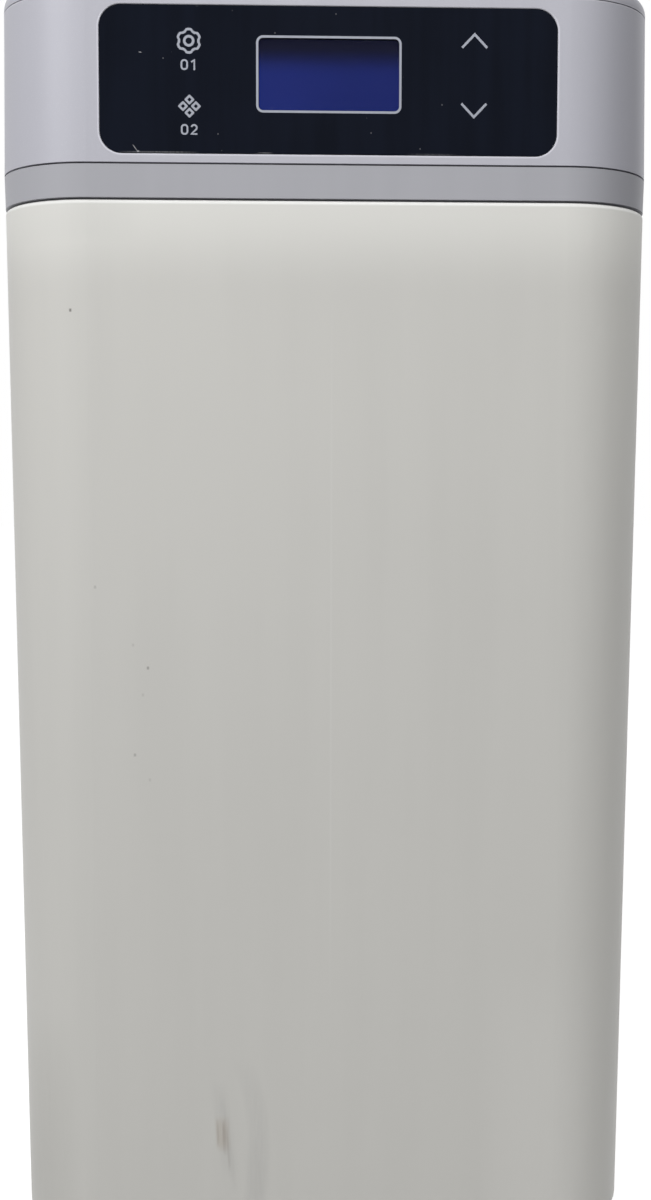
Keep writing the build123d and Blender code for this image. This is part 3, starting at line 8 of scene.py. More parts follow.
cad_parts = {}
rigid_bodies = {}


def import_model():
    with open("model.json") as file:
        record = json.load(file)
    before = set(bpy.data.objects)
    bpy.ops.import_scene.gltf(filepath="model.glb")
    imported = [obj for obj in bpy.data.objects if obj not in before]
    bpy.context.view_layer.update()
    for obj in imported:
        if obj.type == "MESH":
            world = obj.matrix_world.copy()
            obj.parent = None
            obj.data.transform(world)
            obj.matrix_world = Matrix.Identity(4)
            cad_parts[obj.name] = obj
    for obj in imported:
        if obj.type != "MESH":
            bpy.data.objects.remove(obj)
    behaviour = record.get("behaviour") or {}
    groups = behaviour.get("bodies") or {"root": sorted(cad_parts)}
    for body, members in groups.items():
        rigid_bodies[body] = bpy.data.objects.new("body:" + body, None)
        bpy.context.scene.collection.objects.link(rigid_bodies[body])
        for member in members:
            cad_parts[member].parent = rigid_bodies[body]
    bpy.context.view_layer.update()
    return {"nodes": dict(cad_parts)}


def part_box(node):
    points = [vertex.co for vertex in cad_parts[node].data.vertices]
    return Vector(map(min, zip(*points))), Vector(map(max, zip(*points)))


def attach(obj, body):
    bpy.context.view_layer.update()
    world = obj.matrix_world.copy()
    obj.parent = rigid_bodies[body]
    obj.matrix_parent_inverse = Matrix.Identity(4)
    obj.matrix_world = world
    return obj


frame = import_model()
mm = 0.001
print("nodes in the frame:", len(frame["nodes"]))

# %% [markdown]
# The casing tapers a little, as a moulded cabinet must to leave its mould. These are the sizes of
# its outline in millimetres: the widest line is the seam under the head, and everything above and
# below it is drawn in by a small draft. New pieces that lie on the casing use the same sizes.
# %% Casing sizes
casing_depth = 480.0
collar_low = 529.2
collar_high = 546.0
head_high = 626.6
collar_draft = 0.024
tank_draft = 0.0112
head_draft = 0.0118


def inset_at(z):
    """How far the outside lies inside the widest outline: draft times the height from its line."""
    z = np.asarray(z, dtype=float)
    head = (z - collar_high) * head_draft
    collar = (collar_high - z) * collar_draft
    tank = (collar_high - collar_low) * collar_draft + (collar_low - z) * tank_draft
    return np.where(z >= collar_high, head, np.where(z >= collar_low, collar, tank))


print("tank inset at the floor, mm:", round(float(inset_at(0.0)), 2))

# %% [markdown]
# The panel lies in the plane of the head's front wall, which leans back by the draft. Pieces on the
# panel are drawn flat, x to the right, z up and y into the wall, and this matrix puts them there.
# %% The panel's plane
panel_height = 70.2
panel_rise = 4.9
panel_middle = collar_high + panel_rise + panel_height / 2
panel_front = float(inset_at(panel_middle)) - casing_depth / 2
panel_place = Matrix.Translation(Vector((0.0, panel_front, panel_middle)) * mm)
panel_place = panel_place @ Matrix.Rotation(-atan(head_draft), 4, "X")
print("panel middle, mm:", round(panel_middle, 1))

# %% [markdown]
# The camera stands in front of the cabinet, a little to the left, above mid height and about three
# quarters of a metre away, so the cabinet shows a mild perspective. The place and the three small
# turns come from the measured outline of the object.
# %% Camera
eye = Vector((-26.7, -985.8, 391.9)) * mm
yaw, pitch, roll = -0.0338, -0.0790, -0.0016
turn = Matrix.Rotation(yaw, 3, "Z") @ Matrix.Rotation(pitch, 3, "X") @ Matrix.Rotation(roll, 3, "Y")
turn = turn @ Matrix.Rotation(pi / 2, 3, "X")
camera_data = bpy.data.cameras.new("camera")
camera_data.lens = 45.0
camera_data.sensor_width = 36.0
camera = bpy.data.objects.new("camera", camera_data)
camera.location = eye
camera.rotation_euler = turn.to_euler()
bpy.context.scene.collection.objects.link(camera)
bpy.context.scene.camera = camera
print("camera at", [round(value, 3) for value in eye])

# %% [markdown]
# Light is plain studio light. A large soft lamp from the upper left front makes the left rounded
# corner a touch brighter than the flat face and leaves the right one in half shade. A smaller lamp
# nearly overhead makes the face fall off slowly towards the floor. The world fills the shade. To the
# camera, and in gloss and glass, the world shows as plain white.
# %% Lamps and world
fill_level = 0.43
white_level = 1.0


def seen_directly(tree):
    """Mask that is one for camera, glossy and transmission rays, and nought for the light it sheds."""
    rays = tree.nodes.new("ShaderNodeLightPath")
    seen = rays.outputs["Is Camera Ray"]
    for label in ("Is Glossy Ray", "Is Transmission Ray"):
        either = tree.nodes.new("ShaderNodeMath")
        either.operation = "MAXIMUM"
        tree.links.new(seen, either.inputs[0])
        tree.links.new(rays.outputs[label], either.inputs[1])
        seen = either.outputs[0]
    return seen


world = bpy.data.worlds.new("studio")
bpy.context.scene.world = world
world.use_nodes = True
background = world.node_tree.nodes["Background"]
world_level = world.node_tree.nodes.new("ShaderNodeMix")
world_level.data_type = "FLOAT"
world_level.inputs[2].default_value = fill_level
world_level.inputs[3].default_value = white_level
world.node_tree.links.new(seen_directly(world.node_tree), world_level.inputs[0])
world.node_tree.links.new(world_level.outputs[0], background.inputs["Strength"])
background.inputs["Color"].default_value = (1.0, 1.0, 1.0, 1.0)


def add_lamp(name, place, aim, size, watts):
    """Square soft lamp at one point, turned towards another, both in metres."""
    data = bpy.data.lights.new(name, "AREA")
    data.size = size
    data.energy = watts
    lamp = bpy.data.objects.new(name, data)
    lamp.location = place
    lamp.rotation_euler = (Vector(aim) - Vector(place)).to_track_quat("-Z", "Y").to_euler()
    bpy.context.scene.collection.objects.link(lamp)


lamp_table = [
    ("key_lamp", (-0.95, -1.2, 1.25), (0.0, -0.15, 0.35), 0.9, 11.0),
    ("overhead_lamp", (0.1, -0.85, 1.3), (0.0, -0.2, 0.45), 0.5, 3.6),
]
for lamp_row in lamp_table:
    add_lamp(*lamp_row)
print("lamps:", len(lamp_table))

# %% [markdown]
# Finishes share a few effects, so each effect is a node group with named inputs. Three small helpers
# come first: one makes an empty group with its sockets, one places a math node, and one a noise.
# Effects that belong to the front wall stop at one depth, front_limit, in metres.
# %% Helpers for node groups


def new_group(name, inputs, outputs):
    """Empty shader group with float or vector sockets, and its input and output nodes."""
    tree = bpy.data.node_groups.new(name, "ShaderNodeTree")
    for label, kind, value in inputs:
        socket = tree.interface.new_socket(label, in_out="INPUT", socket_type=kind)
        if value is not None:
            socket.default_value = value
    for label, kind in outputs:
        tree.interface.new_socket(label, in_out="OUTPUT", socket_type=kind)
    return tree, tree.nodes.new("NodeGroupInput"), tree.nodes.new("NodeGroupOutput")


def math_node(tree, operation, first, second=None, clamp=False):
    """Math node whose operands are sockets or plain numbers; returns its output socket."""
    node = tree.nodes.new("ShaderNodeMath")
    node.operation = operation
    node.use_clamp = clamp
    for index, value in enumerate((first, second)):
        if value is None:
            continue
        if isinstance(value, (int, float)):
            node.inputs[index].default_value = value
        else:
            tree.links.new(value, node.inputs[index])
    return node.outputs[0]


def noise_node(tree, vector, scale, detail, stretch=None):
    """Noise texture on a vector, which may first be stretched along its axes; returns its value."""
    if stretch is not None:
        mapping = tree.nodes.new("ShaderNodeMapping")
        mapping.inputs["Scale"].default_value = stretch
        tree.links.new(vector, mapping.inputs["Vector"])
        vector = mapping.outputs["Vector"]
    node = tree.nodes.new("ShaderNodeTexNoise")
    node.inputs["Detail"].default_value = detail
    tree.links.new(vector, node.inputs["Vector"])
    if isinstance(scale, (int, float)):
        node.inputs["Scale"].default_value = scale
    else:
        tree.links.new(scale, node.inputs["Scale"])
    return node.outputs[0]


vector_and_scale = [("Vector", "NodeSocketVector", None), ("Scale", "NodeSocketFloat", 8.0)]
vector_only = vector_and_scale[:1]
mask_out = [("Mask", "NodeSocketFloat")]
front_limit = -0.2
print("helpers ready")

# %% [markdown]
# Large plastic faces are never quite even. The mottle is a cloud of slow patches mixed with faint
# upright streaks, which come from the way the plastic flows up the mould. The grain is the fine
# texture that the mould leaves, about one cell per half millimetre, used as a height.
# %% Effect: slow mottle and moulded grain


def build_mottle():
    """Slow patchiness: two noises of one scale, one stretched upright, averaged to 0 to 1."""
    tree, entry, leave = new_group("slow_mottle", vector_and_scale, mask_out)
    vector, scale = entry.outputs["Vector"], entry.outputs["Scale"]
    cloud = noise_node(tree, vector, scale, 4.0)
    streak = noise_node(tree, vector, scale, 3.0, stretch=(9.0, 9.0, 0.6))
    total = math_node(tree, "ADD", cloud, streak)
    tree.links.new(math_node(tree, "MULTIPLY", total, 0.5), leave.inputs["Mask"])
    return tree


def build_grain():
    """Fine moulded grain: one noise, as a height."""
    tree, entry, leave = new_group("moulded_grain", vector_and_scale, [("Height", "NodeSocketFloat")])
    height = noise_node(tree, entry.outputs["Vector"], entry.outputs["Scale"], 2.0)
    tree.links.new(height, leave.inputs["Height"])
    return tree


mottle_group = build_mottle()
grain_group = build_grain()
print("effects:", mottle_group.name, grain_group.name)

# %% [markdown]
# A used appliance has rubs, smears and scratches. One effect makes them all: a soft upright stroke
# on the front, with its own place, width, height and lean, broken up by a fine streaky noise.
# %% Effect: stroke on the front


def build_stroke():
    """Mask of a stroke: (1 - across squared) times (1 - along cubed), less the noise's breakup."""
    places = [
        (label, "NodeSocketFloat", value)
        for label, value in (
            ("X", 0.0), ("Z", 0.0), ("Half Width", 0.004), ("Half Height", 0.02),
            ("Lean", 0.0), ("Bend", 0.0), ("Breakup", 0.5),
        )
    ]
    tree, entry, leave = new_group("front_stroke", vector_only + places, mask_out)
    socket = entry.outputs
    split = tree.nodes.new("ShaderNodeSeparateXYZ")
    tree.links.new(socket["Vector"], split.inputs[0])
    dx = math_node(tree, "SUBTRACT", split.outputs["X"], socket["X"])
    dz = math_node(tree, "SUBTRACT", split.outputs["Z"], socket["Z"])
    leaned = math_node(tree, "MULTIPLY", dz, socket["Lean"])
    bent = math_node(tree, "MULTIPLY", math_node(tree, "MULTIPLY", dz, dz), socket["Bend"])
    across = math_node(tree, "SUBTRACT", math_node(tree, "SUBTRACT", dx, leaned), bent)
    across = math_node(tree, "DIVIDE", math_node(tree, "ABSOLUTE", across), socket["Half Width"])
    along = math_node(tree, "DIVIDE", math_node(tree, "ABSOLUTE", dz), socket["Half Height"])
    wide = math_node(tree, "SUBTRACT", 1.0, math_node(tree, "POWER", across, 2.0), clamp=True)
    tall = math_node(tree, "SUBTRACT", 1.0, math_node(tree, "POWER", along, 3.0), clamp=True)
    face = math_node(tree, "LESS_THAN", split.outputs["Y"], front_limit)
    noise = noise_node(tree, socket["Vector"], 1.0, 3.0, stretch=(900.0, 900.0, 60.0))
    ragged = math_node(tree, "MULTIPLY", noise, socket["Breakup"])
    ragged = math_node(tree, "SUBTRACT", 1.0, ragged, clamp=True)
    mask = math_node(tree, "MULTIPLY", math_node(tree, "MULTIPLY", wide, tall), face)
    tree.links.new(math_node(tree, "MULTIPLY", mask, ragged), leave.inputs["Mask"])
    return tree


stroke_group = build_stroke()
print("effect:", stroke_group.name)

# %% [markdown]
# Dust, glass fibre in dark plastic and the sparkle in silver paint are all scattered specks. The
# effect cuts space into cells, keeps a small share of them, and puts one round speck in each.
# %% Effect: scattered specks


def build_specks():
    """Mask that is one within Size of a cell's point, in the Share of the cells that are kept."""
    sizes = [("Size", "NodeSocketFloat", 0.2), ("Share", "NodeSocketFloat", 0.1)]
    tree, entry, leave = new_group("scattered_specks", vector_and_scale + sizes, mask_out)
    cells = tree.nodes.new("ShaderNodeTexVoronoi")
    tree.links.new(entry.outputs["Vector"], cells.inputs["Vector"])
    tree.links.new(entry.outputs["Scale"], cells.inputs["Scale"])
    near = math_node(tree, "LESS_THAN", cells.outputs["Distance"], entry.outputs["Size"])
    split = tree.nodes.new("ShaderNodeSeparateColor")
    tree.links.new(cells.outputs["Color"], split.inputs[0])
    kept = math_node(tree, "LESS_THAN", split.outputs[0], entry.outputs["Share"])
    tree.links.new(math_node(tree, "MULTIPLY", near, kept), leave.inputs["Mask"])
    return tree


specks_group = build_specks()
print("effect:", specks_group.name)

# %% [markdown]
# Metal that was turned or rolled carries fine parallel lines. The effect is a noise squeezed hard
# along one axis, so that it varies quickly across the lines and hardly along them.
# %% Effect: fine lines on metal


def build_lines():
    """Noise on coordinates multiplied by Squeeze, which is large across the lines."""
    squeeze = [("Squeeze", "NodeSocketVector", (60.0, 2600.0, 60.0))]
    tree, entry, leave = new_group("fine_lines", vector_only + squeeze, mask_out)
    stretched = tree.nodes.new("ShaderNodeVectorMath")
    stretched.operation = "MULTIPLY"
    tree.links.new(entry.outputs["Vector"], stretched.inputs[0])
    tree.links.new(entry.outputs["Squeeze"], stretched.inputs[1])
    tree.links.new(noise_node(tree, stretched.outputs[0], 1.0, 2.0), leave.inputs["Mask"])
    return tree


lines_group = build_lines()
print("effect:", lines_group.name)

# %% [markdown]
# The resin vessel is wound from resin-soaked glass fibre, which crosses itself in two slanting sets
# of bands. Round the vessel's own axis, the sum of the height and the angle numbers one set and
# their difference the other; a sine of each gives the ridges.
# %% Effect: crossing wound bands


def build_bands():
    """Mean of sin(height + angle) and sin(height - angle) about an upright axis, from 0 to 1."""
    extra = [
        ("Centre", "NodeSocketVector", (0.0, 0.0, 0.0)),
        ("Bands Up", "NodeSocketFloat", 450.0),
        ("Bands Round", "NodeSocketFloat", 9.0),
    ]
    tree, entry, leave = new_group("wound_bands", vector_only + extra, mask_out)
    local = tree.nodes.new("ShaderNodeVectorMath")
    local.operation = "SUBTRACT"
    tree.links.new(entry.outputs["Vector"], local.inputs[0])
    tree.links.new(entry.outputs["Centre"], local.inputs[1])
    split = tree.nodes.new("ShaderNodeSeparateXYZ")
    tree.links.new(local.outputs[0], split.inputs[0])
    angle = math_node(tree, "ARCTAN2", split.outputs["Y"], split.outputs["X"])
    around = math_node(tree, "MULTIPLY", angle, entry.outputs["Bands Round"])
    rising = math_node(tree, "MULTIPLY", split.outputs["Z"], entry.outputs["Bands Up"])
    first = math_node(tree, "SINE", math_node(tree, "ADD", rising, around))
    second = math_node(tree, "SINE", math_node(tree, "SUBTRACT", rising, around))
    total = math_node(tree, "ADD", first, second)
    scaled = math_node(tree, "MULTIPLY", total, 0.25)
    tree.links.new(math_node(tree, "ADD", scaled, 0.5), leave.inputs["Mask"])
    return tree


bands_group = build_bands()
print("effect:", bands_group.name)

# %% [markdown]
# Paint wears pale where a cloth runs along an edge, and a rounded edge catches the light. Round the panel's
# recess both show as one thin pale line, the light part painted in as a highlight. The effect measures how
# far a point lies outside a rounded rectangle on the front, and keeps a narrow belt of that distance.
# %% Effect: worn edge and painted highlight round the recess


def build_edge():
    """Belt round a rounded box: length(max(|p| - (half - r), 0)) - r is the distance from its line."""
    sizes = [("Z", "NodeSocketFloat", 0.0)]
    tree, entry, leave = new_group("recess_edge", vector_only + sizes, mask_out)
    split = tree.nodes.new("ShaderNodeSeparateXYZ")
    tree.links.new(entry.outputs["Vector"], split.inputs[0])
    rise = math_node(tree, "SUBTRACT", split.outputs["Z"], entry.outputs["Z"])
    squares = []
    for place, half in ((split.outputs["X"], panel_width / 2), (rise, panel_height / 2)):
        straight = (half - panel_radius) * mm
        beyond = math_node(tree, "SUBTRACT", math_node(tree, "ABSOLUTE", place), straight)
        squares.append(math_node(tree, "POWER", math_node(tree, "MAXIMUM", beyond, 0.0), 2.0))
    length = math_node(tree, "SQRT", math_node(tree, "ADD", *squares))
    middle_line = (panel_radius + edge_offset) * mm
    away = math_node(tree, "ABSOLUTE", math_node(tree, "SUBTRACT", length, middle_line))
    share = math_node(tree, "DIVIDE", away, edge_half_width * mm)
    belt = math_node(tree, "SUBTRACT", 1.0, math_node(tree, "POWER", share, 2.0), clamp=True)
    face = math_node(tree, "LESS_THAN", split.outputs["Y"], front_limit)
    tree.links.new(math_node(tree, "MULTIPLY", belt, face), leave.inputs["Mask"])
    return tree


panel_width = 222.6
panel_radius = 10.5
edge_offset = 0.55
edge_half_width = 0.8
edge_group = build_edge()
print("effect:", edge_group.name)

# %% [markdown]
# Every finish starts from the same small class: a material, its shader and the Object coordinates,
# with helpers that place an effect, mix two colours by a mask, spread a mask between two numbers,
# make a mask along an axis, and feed the bump. Values that are the same all over are set on the
# shader itself.
# %% The finish class


class Finish:
    """A material with its shader, its Object coordinates, and helpers that add to it."""

    def __init__(self, name, **constants):
        self.material = bpy.data.materials.new(name)
        self.material.use_nodes = True
        self.tree = self.material.node_tree
        self.shader = self.tree.nodes["Principled BSDF"]
        for label, value in constants.items():
            self.shader.inputs[label.replace("_", " ")].default_value = value
        self.place = self.tree.nodes.new("ShaderNodeTexCoord").outputs["Object"]

    def group(self, tree, **values):
        """Place a shared effect, set its inputs and feed it the Object coordinates."""
        node = self.tree.nodes.new("ShaderNodeGroup")
        node.node_tree = tree
        self.tree.links.new(self.place, node.inputs["Vector"])
        for label, value in values.items():
            node.inputs[label.replace("_", " ")].default_value = value
        return node.outputs[0]

    def mix(self, mask, first, second):
        """Colour that goes from first to second with the mask; either may be a socket."""
        node = self.tree.nodes.new("ShaderNodeMix")
        node.data_type = "RGBA"
        self.tree.links.new(mask, node.inputs[0])
        for index, value in ((6, first), (7, second)):
            if isinstance(value, tuple):
                node.inputs[index].default_value = (*value, 1.0)
            else:
                self.tree.links.new(value, node.inputs[index])
        return node.outputs[2]

    def spread(self, mask, low, high, start=0.3, stop=0.7):
        """Number that goes smoothly from low to high as the mask goes from start to stop."""
        node = self.tree.nodes.new("ShaderNodeMapRange")
        node.interpolation_type = "SMOOTHSTEP"
        self.tree.links.new(mask, node.inputs["Value"])
        for label, value in (("From Min", start), ("From Max", stop), ("To Min", low), ("To Max", high)):
            node.inputs[label].default_value = value
        return node.outputs["Result"]

    def along(self, axis, start, stop):
        """Mask that goes smoothly from nought at start to one at stop, places on an axis in mm."""
        split = self.tree.nodes.new("ShaderNodeSeparateXYZ")
        self.tree.links.new(self.place, split.inputs[0])
        return self.spread(split.outputs[axis], 0.0, 1.0, start * mm, stop * mm)

    def bump(self, height, distance):
        """Bump from a height socket, its depth in metres."""
        node = self.tree.nodes.new("ShaderNodeBump")
        node.inputs["Distance"].default_value = distance
        self.tree.links.new(height, node.inputs["Height"])
        self.tree.links.new(node.outputs["Normal"], self.shader.inputs["Normal"])

    def feed(self, label, socket):
        """Link a socket to one of the shader's own inputs."""
        self.tree.links.new(socket, self.shader.inputs[label])


def dress(finish, *nodes):
    """Give a finish to nodes of the frame."""
    for name in nodes:
        node = frame["nodes"][name]
        node.data.materials.clear()
        node.data.materials.append(finish.material)


print("finish class ready")

# %% [markdown]
# Most pieces are moulded plastic. The recipe is one base colour that drifts slowly between two close
# tones, a roughness that drifts with it, and the fine grain as bump. Other finishes start from it.
# The helpers after it lay another tone over the base: by any mask, as one stroke on the front, as
# painted shade in a seam's groove, and as painted shade at the right front corner. Their lengths are in
# millimetres.
# %% The recipe for moulded plastic


def moulded(
    name, tone, drift, rough, grain_scale=1500.0, grain_depth=0.00002, mottle_scale=8.0, **constants
):
    """Moulded plastic: tone times drift to tone, roughness 0.92 to 1.08 of rough, and fine grain."""
    finish = Finish(name, **constants)
    mask = finish.group(mottle_group, Scale=mottle_scale)
    darker = tuple(value * drift for value in tone)
    finish.base = finish.mix(finish.spread(mask, 0.0, 1.0, 0.38, 0.62), darker, tone)
    finish.feed("Base Color", finish.base)
    finish.feed("Roughness", finish.spread(mask, rough * 0.92, rough * 1.08))
    finish.bump(finish.group(grain_group, Scale=grain_scale), grain_depth)
    return finish


def recolour(finish, mask, tone, share=1.0):
    """Mix another tone over the finish's base by a mask, at most by the share."""
    if share < 1.0:
        mask = math_node(finish.tree, "MULTIPLY", mask, share)
    finish.base = finish.mix(mask, finish.base, tone)
    finish.feed("Base Color", finish.base)


def mark(finish, tone, share, x, z, half_width, half_height, lean=0.0, bend=0.0, breakup=0.5):
    """One stroke on the front, its sizes in millimetres, mixed into the finish's base colour."""
    stroke = finish.group(
        stroke_group, X=x * mm, Z=z * mm, Half_Width=half_width * mm, Half_Height=half_height * mm,
        Lean=lean, Bend=bend, Breakup=breakup,
    )
    recolour(finish, stroke, tone, share)


def shade_groove(finish, height):
    """Painted shade on the walls of the seam's groove centred on a height."""
    low, high = height - groove_half, height + groove_half
    risen = finish.along("Z", low, low + groove_blend)
    passed = finish.along("Z", high - groove_blend, high)
    groove = math_node(finish.tree, "SUBTRACT", risen, passed, clamp=True)
    recolour(finish, groove, groove_shade_tone, groove_share)


def shade_corner(finish, tone):
    """Painted shade that grows across the right front corner and ends where the side begins."""
    across = finish.along("X", *corner_across)
    behind = finish.along("Y", *corner_behind)
    corner = math_node(finish.tree, "SUBTRACT", across, behind, clamp=True)
    recolour(finish, corner, tone, corner_share)


# Painted shade in the seams' grooves and at the right front corner: sizes in millimetres, tones and shares.
groove_half = 0.46
groove_blend = 0.08
groove_shade_tone = (0.05, 0.05, 0.055)
groove_share = 0.88
corner_across = (112.0, 155.0)
corner_behind = (-224.0, -209.0)
corner_share = 0.5
print("recipe ready")

# %% [markdown]
# The cabinet is a warm off-white plastic, lighter along its top with a painted sheen, where light from above
# falls.
# It has been used: there are a few dark specks on the left, a brownish rub and two grey smears low
# down, a faint upright line where the mould closed, and slow changes of tone near three corners.
# Each row of ivory_marks is one stroke: its tone, share, x, z, half width, half height, lean, bend
# and breakup. A row of speck_places is a round speck's x, z and share.
# %% Ivory cabinet
ivory = moulded(
    "ivory_plastic", (0.632, 0.624, 0.594), 0.972, 0.46, grain_scale=1300.0, mottle_scale=5.0,
    **{"Specular IOR Level": 0.3},
)
# Painted sheen: the cabinet's top is lightened as light from above and in front would make it.
sheen_reach = 46.0
painted_top_sheen = ivory.along("Z", collar_low - sheen_reach, collar_low - 1.0)
recolour(ivory, painted_top_sheen, (0.76, 0.755, 0.72), 0.9)
# Painted highlight: a pale line just under the collar, where the cabinet's rounded rim catches the light.
painted_rim_highlight = ivory.along("Z", collar_low - 3.0, collar_low - 2.0)
recolour(ivory, painted_rim_highlight, (0.86, 0.86, 0.84), 0.9)
speck_tone = (0.12, 0.11, 0.1)
speck_places = [
    (-126.8, 475.3, 0.95), (-116.2, 339.2, 0.3), (-97.6, 310.1, 0.2), (-90.3, 298.5, 0.6),
    (-92.9, 284.9, 0.2), (-97.2, 254.4, 0.45), (-89.8, 241.6, 0.2),
]
for x, z, share in speck_places:
    mark(ivory, speck_tone, share, x, z, 0.8, 0.95, breakup=0.2)
smear_tone = (0.36, 0.36, 0.355)
ivory_marks = [
    (smear_tone, 0.24, -53.0, 58.0, 5.0, 27.0, -0.124, 0.0, 0.8),
    (smear_tone, 0.28, -50.9, 50.0, 2.0, 26.0, -0.13, 0.0, 1.0),
    (smear_tone, 0.24, -35.2, 48.0, 6.5, 50.0, 0.0, -3.67, 0.8),
    (smear_tone, 0.16, -36.5, 30.0, 7.5, 26.0, 0.0, 0.0, 0.9),
    ((0.44, 0.36, 0.28), 0.55, -53.9, 56.0, 4.2, 10.0, -0.04, 0.0, 0.9),
    ((0.3, 0.25, 0.2), 0.4, -56.4, 56.5, 0.9, 8.0, -0.02, 0.0, 0.6),
    ((0.22, 0.18, 0.15), 0.42, -53.2, 54.0, 1.1, 10.0, -0.05, 0.0, 0.6),
    ((0.26, 0.22, 0.19), 0.3, -51.2, 48.0, 0.8, 12.0, -0.08, 0.0, 0.6),
    ((0.8, 0.8, 0.78), 0.15, 1.4, 300.0, 0.6, 185.0, 0.0, 0.0, 0.3),
    ((0.5, 0.5, 0.48), 0.2, -124.0, 524.0, 34.0, 16.0, 0.0, 0.0, 0.4),
    ((0.42, 0.415, 0.39), 0.4, -150.0, -30.0, 24.0, 150.0, 0.0, 0.0, 0.4),
    ((0.72, 0.71, 0.68), 0.5, 112.0, 20.0, 34.0, 130.0, 0.0, 0.0, 0.3),
]
for row in ivory_marks:
    mark(ivory, *row)
# Painted shade in the groove under the collar.
shade_groove(ivory, collar_low)
dress(ivory, "cabinet_tank")
print("marks on the cabinet:", len(speck_places) + len(ivory_marks))

# %% [markdown]
# The head is plastic with a silver paint. Paint of this kind holds fine metal flakes under a clear
# layer, so it is slightly metallic, satin, and has a faint lilac cast; the flakes are specks far
# smaller than a millimetre. The pale line round the panel's recess, worn paint with a painted highlight,
# fades out over the last millimetres below its top, and a thin pale line runs along the head's upper edge.
# Painted shade darkens the groove under the head and the right front corner. The collar below the head is
# bare grey plastic, duller and darker.
# %% Silver head and grey collar
line_fade = 6.0
silver = moulded(
    "silver_paint", (0.50, 0.50, 0.553), 0.96, 0.42, grain_scale=2600.0, grain_depth=0.00001,
    mottle_scale=6.0, Metallic=0.04, **{"Specular IOR Level": 0.18},
)
flakes = silver.group(specks_group, Scale=2400.0, Size=0.32, Share=0.22)
recolour(silver, flakes, (0.62, 0.62, 0.66), 0.35)
# Pale line round the recess: partly worn paint, partly a painted highlight on the recess's rounded edge.
recess_line = silver.group(edge_group, Z=panel_middle * mm)
recess_top = panel_middle + panel_height / 2
upper_side = silver.along("Z", recess_top - line_fade, recess_top)
below_top = math_node(silver.tree, "SUBTRACT", 1.0, upper_side)
wear_and_highlight_line = math_node(silver.tree, "MULTIPLY", recess_line, below_top)
recolour(silver, wear_and_highlight_line, (0.72, 0.72, 0.79), 0.85)
head_edge = silver.along("Z", head_high - 1.0, head_high - 0.5)
above_edge = silver.along("Z", head_high + 0.1, head_high + 0.3)
head_edge = math_node(silver.tree, "SUBTRACT", head_edge, above_edge, clamp=True)
recolour(silver, head_edge, (0.68, 0.68, 0.73), 0.6)
# Painted shade in the groove under the head.
shade_groove(silver, collar_high)
# Painted shade across the head's right front corner.
shade_corner(silver, (0.19, 0.19, 0.215))
silver_nodes = ("head_shell", "salt_lid", "valve_hood")
dress(silver, *silver_nodes)
collar_grey = moulded(
    "grey_plastic", (0.42, 0.422, 0.455), 0.96, 0.48, mottle_scale=6.0, **{"Specular IOR Level": 0.25}
)
# Painted shade in the grooves below and above the collar.
shade_groove(collar_grey, collar_low)
shade_groove(collar_grey, collar_high)
# Painted shade across the collar's right front corner.
shade_corner(collar_grey, (0.17, 0.17, 0.19))
grey_nodes = ("deck_collar", "salt_chute", "well_cap", "injector_cap")
dress(collar_grey, *grey_nodes)
print("silver and grey on", len(silver_nodes) + len(grey_nodes), "nodes")

# %% [markdown]
# The fascia is one sheet of glossy near-black plastic with a blue cast. It has dust on it, a white
# chip and a worn line along its lower edge, all of them strokes and specks in a paler tone. The rows
# are written like the cabinet's, but without a tone, because these marks have one tone in common.
# %% Black fascia
fascia = moulded(
    "black_fascia", (0.0052, 0.0074, 0.0152), 0.75, 0.14, grain_scale=60.0, grain_depth=0.000002,
    mottle_scale=14.0, **{"Specular IOR Level": 0.05},
)
dust = fascia.group(specks_group, Scale=170.0, Size=0.05, Share=0.12)
recolour(fascia, dust, (0.16, 0.16, 0.17), 0.5)
pale_chip = (0.5, 0.5, 0.52)
fascia_marks = [
    (0.9, -94.3, 553.1, 0.32, 1.7, -0.72, 0.0, 0.7),
    (0.9, -92.9, 551.5, 0.7, 0.45, 0.0, 0.0, 0.4),
    (0.5, -83.0, 551.25, 20.0, 0.4, 0.0, 0.0, 1.2),
    (0.35, -31.3, 551.2, 4.0, 0.35, 0.0, 0.0, 0.9),
    (0.3, 50.0, 551.2, 13.0, 0.35, 0.0, 0.0, 1.4),
    (0.8, -91.6, 598.6, 0.75, 0.28, -1.2, 0.0, 0.2),
]
for row in fascia_marks:
    mark(fascia, pale_chip, *row)
dust_tone = (0.3, 0.3, 0.32)
dust_places = [
    (-80.5, 595.9), (3.2, 617.7), (-54.1, 560.1), (44.4, 553.8), (20.4, 561.2), (55.0, 575.0),
    (-26.4, 608.4),
]
for x, z in dust_places:
    mark(fascia, dust_tone, 0.6, x, z, 0.3, 0.4, breakup=0.2)
dress(fascia, "panel_fascia")
print("marks on the fascia:", len(dust_places) + len(fascia_marks))

# %% [markdown]
# The display is a blue liquid crystal with its dots off: dark navy along the top, a painted shadow of the
# window's edge, and softly blue below, painted a little brighter on the left where the light falls. Its whole
# colour is given off as emission, which paints in the light that reaches it through the window, so the base
# stays nearly black. A fine pattern of cells stands for the dots. The window in front is clear and thin,
# with a weak reflection so that the blue stays deep.
# %% Display and window
display = Finish("blue_display", Roughness=0.35, **{"Emission Strength": 1.0, "Specular IOR Level": 0.03})
shade_low, shade_high = 588.5, 602.5
bright_side, dim_side = -34.0, 24.0
lit_blue, dim_blue = (0.0115, 0.021, 0.147), (0.0088, 0.0165, 0.117)
shaded_navy = (0.0052, 0.0056, 0.0165)
dot_contrast = 0.16
